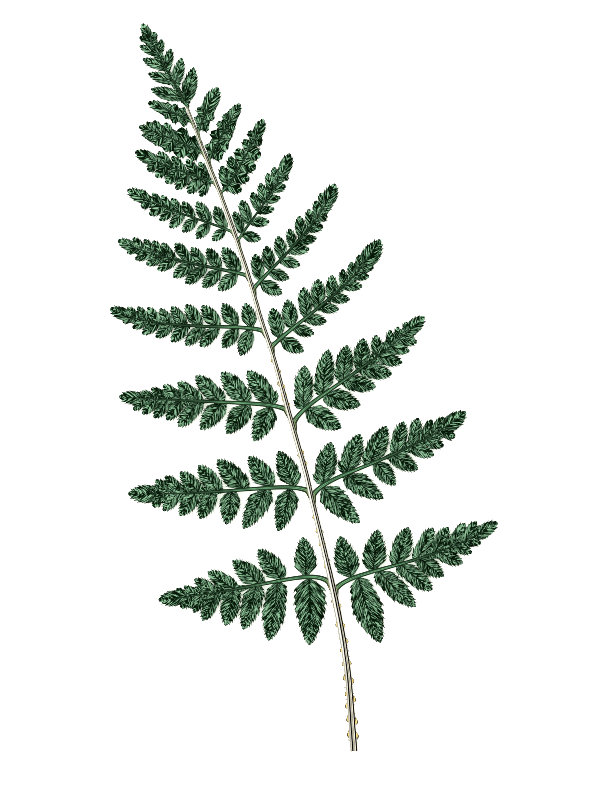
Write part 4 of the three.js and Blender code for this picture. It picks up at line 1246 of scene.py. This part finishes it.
def add_scale(skin, foot, angle, size, width_share, tint, lift, base_height):
    """One thin pointed scale, cupped along its middle, with its tip raised by lift."""
    t = np.array(SCALE_STATIONS)
    bulge = np.sin(math.pi * np.clip(t, *SCALE_ENDS) ** SCALE_WIDEST_POWER) ** SCALE_FULLNESS
    half = size * width_share * 0.5 * bulge + SCALE_LEAST_HALF_WIDTH
    v = np.array([-1, -0.5, 0, 0.5, 1, 0.5, 0, -0.5])
    is_below = np.arange(len(v)) > 4
    centre = foot + times(heading(angle - SCALE_CURL * t * np.sign(lift)), t * size)
    plan = centre[:, None] + times(across(angle) * np.ones((len(t), 1)), half)[:, None] * v[:, None]
    cup = SCALE_CUP * (1 - v**2) * half[:, None]
    thick = np.where(is_below, -SCALE_HALF_THICKNESS, SCALE_HALF_THICKNESS) * (1 - v**2)
    z = base_height + abs(lift) * t[:, None] ** SCALE_LIFT_POWER + cup + thick
    rings = np.concatenate([plan, np.maximum(z, LOWEST_POINT)[..., None]], axis=-1)
    skin.tube(rings, {"across": v, "along": t[:, None], "vein": 0, "tint": tint}, 1)


def add_hair(skin, foot, angle, size, tint, base_height):
    """One fine hair-scale, a thin three-sided spine."""
    t = np.array([0, 0.5, 1])
    around = np.radians([90, 210, 330])
    radius = np.array(HAIR_RADII)[:, None]
    centre = foot + times(heading(angle + HAIR_CURL * t), t * size)
    plan = centre[:, None] + across(angle) * (radius * np.cos(around))[..., None]
    z = base_height + HAIR_RISE * t[:, None] + radius * np.sin(around)
    rings = np.concatenate([plan, z[..., None]], axis=-1)
    skin.tube(rings[:, ::-1], {"across": 1, "along": 1, "vein": 0, "tint": tint}, 1)


class FERN_OT_stalk(Operator):
    """Build the grooved stalk with its cut end and its scales"""

    bl_idname = "fern.stalk"
    bl_label = "Stalk and scales"

    def execute(self, context):
        sizes, colours = context.scene.fern_sizes, context.scene.fern_colours
        random = np.random.default_rng(7)
        skin = Skin("across", "along", "vein", "tint")
        y = np.linspace(0, STALK_TOP, round(STALK_TOP / STALK_RING_STEP) + 1)
        section = np.array(STALK_SECTION)
        sideways, up = section.T
        half = stalk_half(y)
        is_uneven = (y > EVEN_ENDS) & (y < STALK_TOP - EVEN_ENDS)
        swell = is_uneven * sum(np.sin(y * rate + i) for i, rate in enumerate(SWELL_RATES)) * SWELL
        angle = stalk_angle(np.minimum(y, STALK_TOP - LAST_TURN))
        out = times(across(angle), half * (1 + swell - SWELL))
        # The groove runs left of the middle at the base and crosses to it further up
        shift = mix(GROOVE_AT_BASE, GROOVE_HIGH_UP, smoothstep(y, *GROOVE_CROSSES))[:, None]
        sideways = sideways + shift * (1 - sideways**2)
        rings = np.zeros((len(y), len(section), 3))
        rings[..., :2] = stalk_at(y)[:, None] - times(out[:, None], sideways)
        rings[..., 2] = half[:, None] * up
        skin.tube(rings, {"across": sideways, "along": y[:, None], "vein": up, "tint": 0}, 0)
        skin.finishes[-1] = [2, 0]

        for places, hand in ((SCALES_LEFT, -1), (SCALES_RIGHT, 1)):
            for at in places:
                size = mix(SCALE_LENGTH_AT_BASE, SCALE_LENGTH_AT_TOP, min(1, at / SMALL_SCALES_FROM))
                self.place_scale(skin, at, hand, size, SCALE_WIDTH_SHARE, random)
        for _ in range(sizes.small_scales):
            at = LOWEST_SMALL_SCALE + SMALL_SCALES_SPAN * random.uniform(0, 1) ** SMALL_SCALES_CROWDING
            hand = 1 if random.uniform(0, 1) < RIGHT_SIDE_SHARE else -1
            size = random.uniform(*SMALL_SCALE_LENGTHS)
            self.place_scale(skin, at, hand, size, SMALL_SCALE_WIDTH_SHARE, random)
        for _ in range(sizes.hairs):
            span = STALK_TOP - HAIRLESS_TOP - LOWEST_HAIR
            at = LOWEST_HAIR + span * random.uniform(0, 1) ** HAIRS_CROWDING
            hand = random.choice((-1, 1))
            foot, half, up = self.foot_of(at, hand, HAIR_ROOT_DEPTH)
            angle = up - hand * random.uniform(*HAIR_SPREADS)
            size = random.uniform(SHORTEST_HAIR_SHARE, 1) * sizes.hair_length / MM
            add_hair(skin, foot, angle, size, random.uniform(0, 1), half)
        made = skin.piece("stalk_fine", [stalk_straw(colours), scale_tan(colours), cut_flesh(colours)])
        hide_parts(STALK_NODE)
        return {"FINISHED"}

    @staticmethod
    def foot_of(at, hand, depth):
        half, up = float(stalk_half(at)), float(stalk_angle(at))
        return stalk_at(at) - across(up) * hand * (half - depth), half, up

    def place_scale(self, skin, at, hand, size, width_share, random):
        foot, half, up = self.foot_of(at, hand, SCALE_ROOT_DEPTH)
        spread = SCALE_SPREAD * random.uniform(*SCALE_SPREADS)
        add_scale(
            skin, foot, up - hand * spread, size, width_share, random.uniform(0, 1),
            -hand * random.uniform(*SCALE_LIFTS), half * random.uniform(*SCALE_HEIGHTS))


class FERN_OT_pinnae(Operator):
    """Build the leafy pieces, each rib with its toothed and veined leaflets"""

    bl_idname = "fern.pinnae"
    bl_label = "Pinnae and tip"

    def execute(self, context):
        sizes, colours = context.scene.fern_sizes, context.scene.fern_colours
        materials = [leaf_upper(colours), leaf_under(colours), rib_green(colours)]
        sori = Skin("across", "along")
        for node, row, hand, seed in LEAFY_NODES:
            random = np.random.default_rng(seed)
            skin = Skin("across", "along", "vein", "tint", "spread")
            rib = Rib(row, hand)
            leaflets, end = leaflets_of(row, rib)
            places = []
            for leaflet in leaflets:
                places += add_leaflet(skin, leaflet, sizes, random)
            places += add_leaflet(skin, end, sizes, random, is_end=True)
            add_wing(skin, rib, end.station, random)
            add_rib(skin, rib, end.station, random)
            made = skin.piece(f"{node}_fine", materials)
            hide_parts(node)
            for place, turn in places:
                add_sorus(sori, place, turn, sizes.sorus_width / MM)
        made = sori.piece("sori", [sorus_brown(colours)])
        return {"FINISHED"}


def add_sorus(skin, place, turn, width):
    """One kidney-shaped mound under a leaflet, notched on one side."""
    around = np.linspace(0, 2 * math.pi, SORUS_POINTS, endpoint=False)
    off_notch = np.minimum(around, 2 * math.pi - around) / SORUS_NOTCH_ANGLE
    notch = 1 - SORUS_NOTCH * np.exp(-(off_notch**2))
    depth = SORUS_ROOT + np.clip(place[2] - LOWEST_POINT, *SORUS_DEPTHS)
    rings = np.zeros((len(SORUS_RINGS), len(around), 3))
    for ring, (share, down, _) in zip(rings, SORUS_RINGS):
        ring[:, :2] = place[:2] + times(heading(around + turn), notch * share * width / 2)
        ring[:, 2] = place[2] + SORUS_ROOT - depth * down
    values = {"across": 0, "along": np.array([[shade] for _, _, shade in SORUS_RINGS])}
    skin.tube(rings[:, ::-1], values, 0)


class FERN_OT_stage(Operator):
    """Set the pale floor, the soft light and the camera straight above"""

    bl_idname = "fern.stage"
    bl_label = "Stage"

    def execute(self, context):
        scene, stage = context.scene, context.scene.fern_stage
        half = stage.floor_size / 2
        mesh = bpy.data.meshes.new("floor")
        corners = [(-half, -half), (half, -half), (half, half), (-half, half)]
        mesh.from_pydata([(x, y, -FLOOR_GAP * MM) for x, y in corners], [], [(0, 1, 2, 3)])
        mesh.materials.append(floor_paper())
        add_object("floor", mesh)

        light = bpy.data.lights.new("key", "AREA")
        light.energy = stage.key_power
        light.shape = "DISK"
        light.size = KEY_LIGHT_SIZE
        key = add_object("key", light)
        key.location = KEY_LIGHT_PLACE
        key.rotation_euler = (-key.location).to_track_quat("-Z", "Y").to_euler()

        world = bpy.data.worlds.new("studio")
        world.use_nodes = True
        sky = world.node_tree.nodes["Background"]
        sky.inputs["Color"].default_value = (*srgb(250, 250, 250), 1)
        sky.inputs["Strength"].default_value = stage.sky_strength
        scene.world = world
        scene.view_settings.view_transform = "Standard"
        # A narrow filter keeps strokes half a millimetre wide crisp
        scene.cycles.filter_width = stage.pixel_blur
        scene.cycles.use_denoising = False

        lens = bpy.data.cameras.new("camera")
        lens.lens = CAMERA_LENS
        lens.sensor_width = CAMERA_SENSOR
        camera = add_object("camera", lens)
        middle = np.array([*VIEW_MIDDLE, 0]) + CUT_END
        distance = VIEW_HEIGHT * CAMERA_LENS / CAMERA_SENSOR
        camera.location = Vector((middle[0], middle[1], LEAF_PLANE + distance)) * MM
        camera.rotation_euler = (0, 0, VIEW_TURN)
        scene.camera = camera
        return {"FINISHED"}


class FERN_PT_sidebar(Panel):
    """Builds the frond piece by piece"""

    bl_label = "Fern frond"
    bl_idname = "FERN_PT_sidebar"
    bl_space_type = "VIEW_3D"
    bl_region_type = "UI"
    bl_category = "Fern"

    def draw(self, context):
        for group in (context.scene.fern_sizes, context.scene.fern_colours, context.scene.fern_stage):
            for name in group.__annotations__:
                self.layout.prop(group, name)
        for operator in OPERATORS:
            self.layout.operator(operator.bl_idname)


GROUPS = {"fern_sizes": FernSizes, "fern_colours": FernColours, "fern_stage": StageSettings}
OPERATORS = (FERN_OT_stage, FERN_OT_stalk, FERN_OT_pinnae)


def register():
    for made in (*GROUPS.values(), *OPERATORS, FERN_PT_sidebar):
        bpy.utils.register_class(made)
    for name, group in GROUPS.items():
        setattr(bpy.types.Scene, name, PointerProperty(type=group))


def unregister():
    for name in GROUPS:
        delattr(bpy.types.Scene, name)
    for made in (FERN_PT_sidebar, *reversed(OPERATORS), *GROUPS.values()):
        bpy.utils.unregister_class(made)


def main():
    register()
    bpy.ops.fern.stage()
    bpy.ops.fern.stalk()
    bpy.ops.fern.pinnae()


if __name__ == "__main__":
    main()
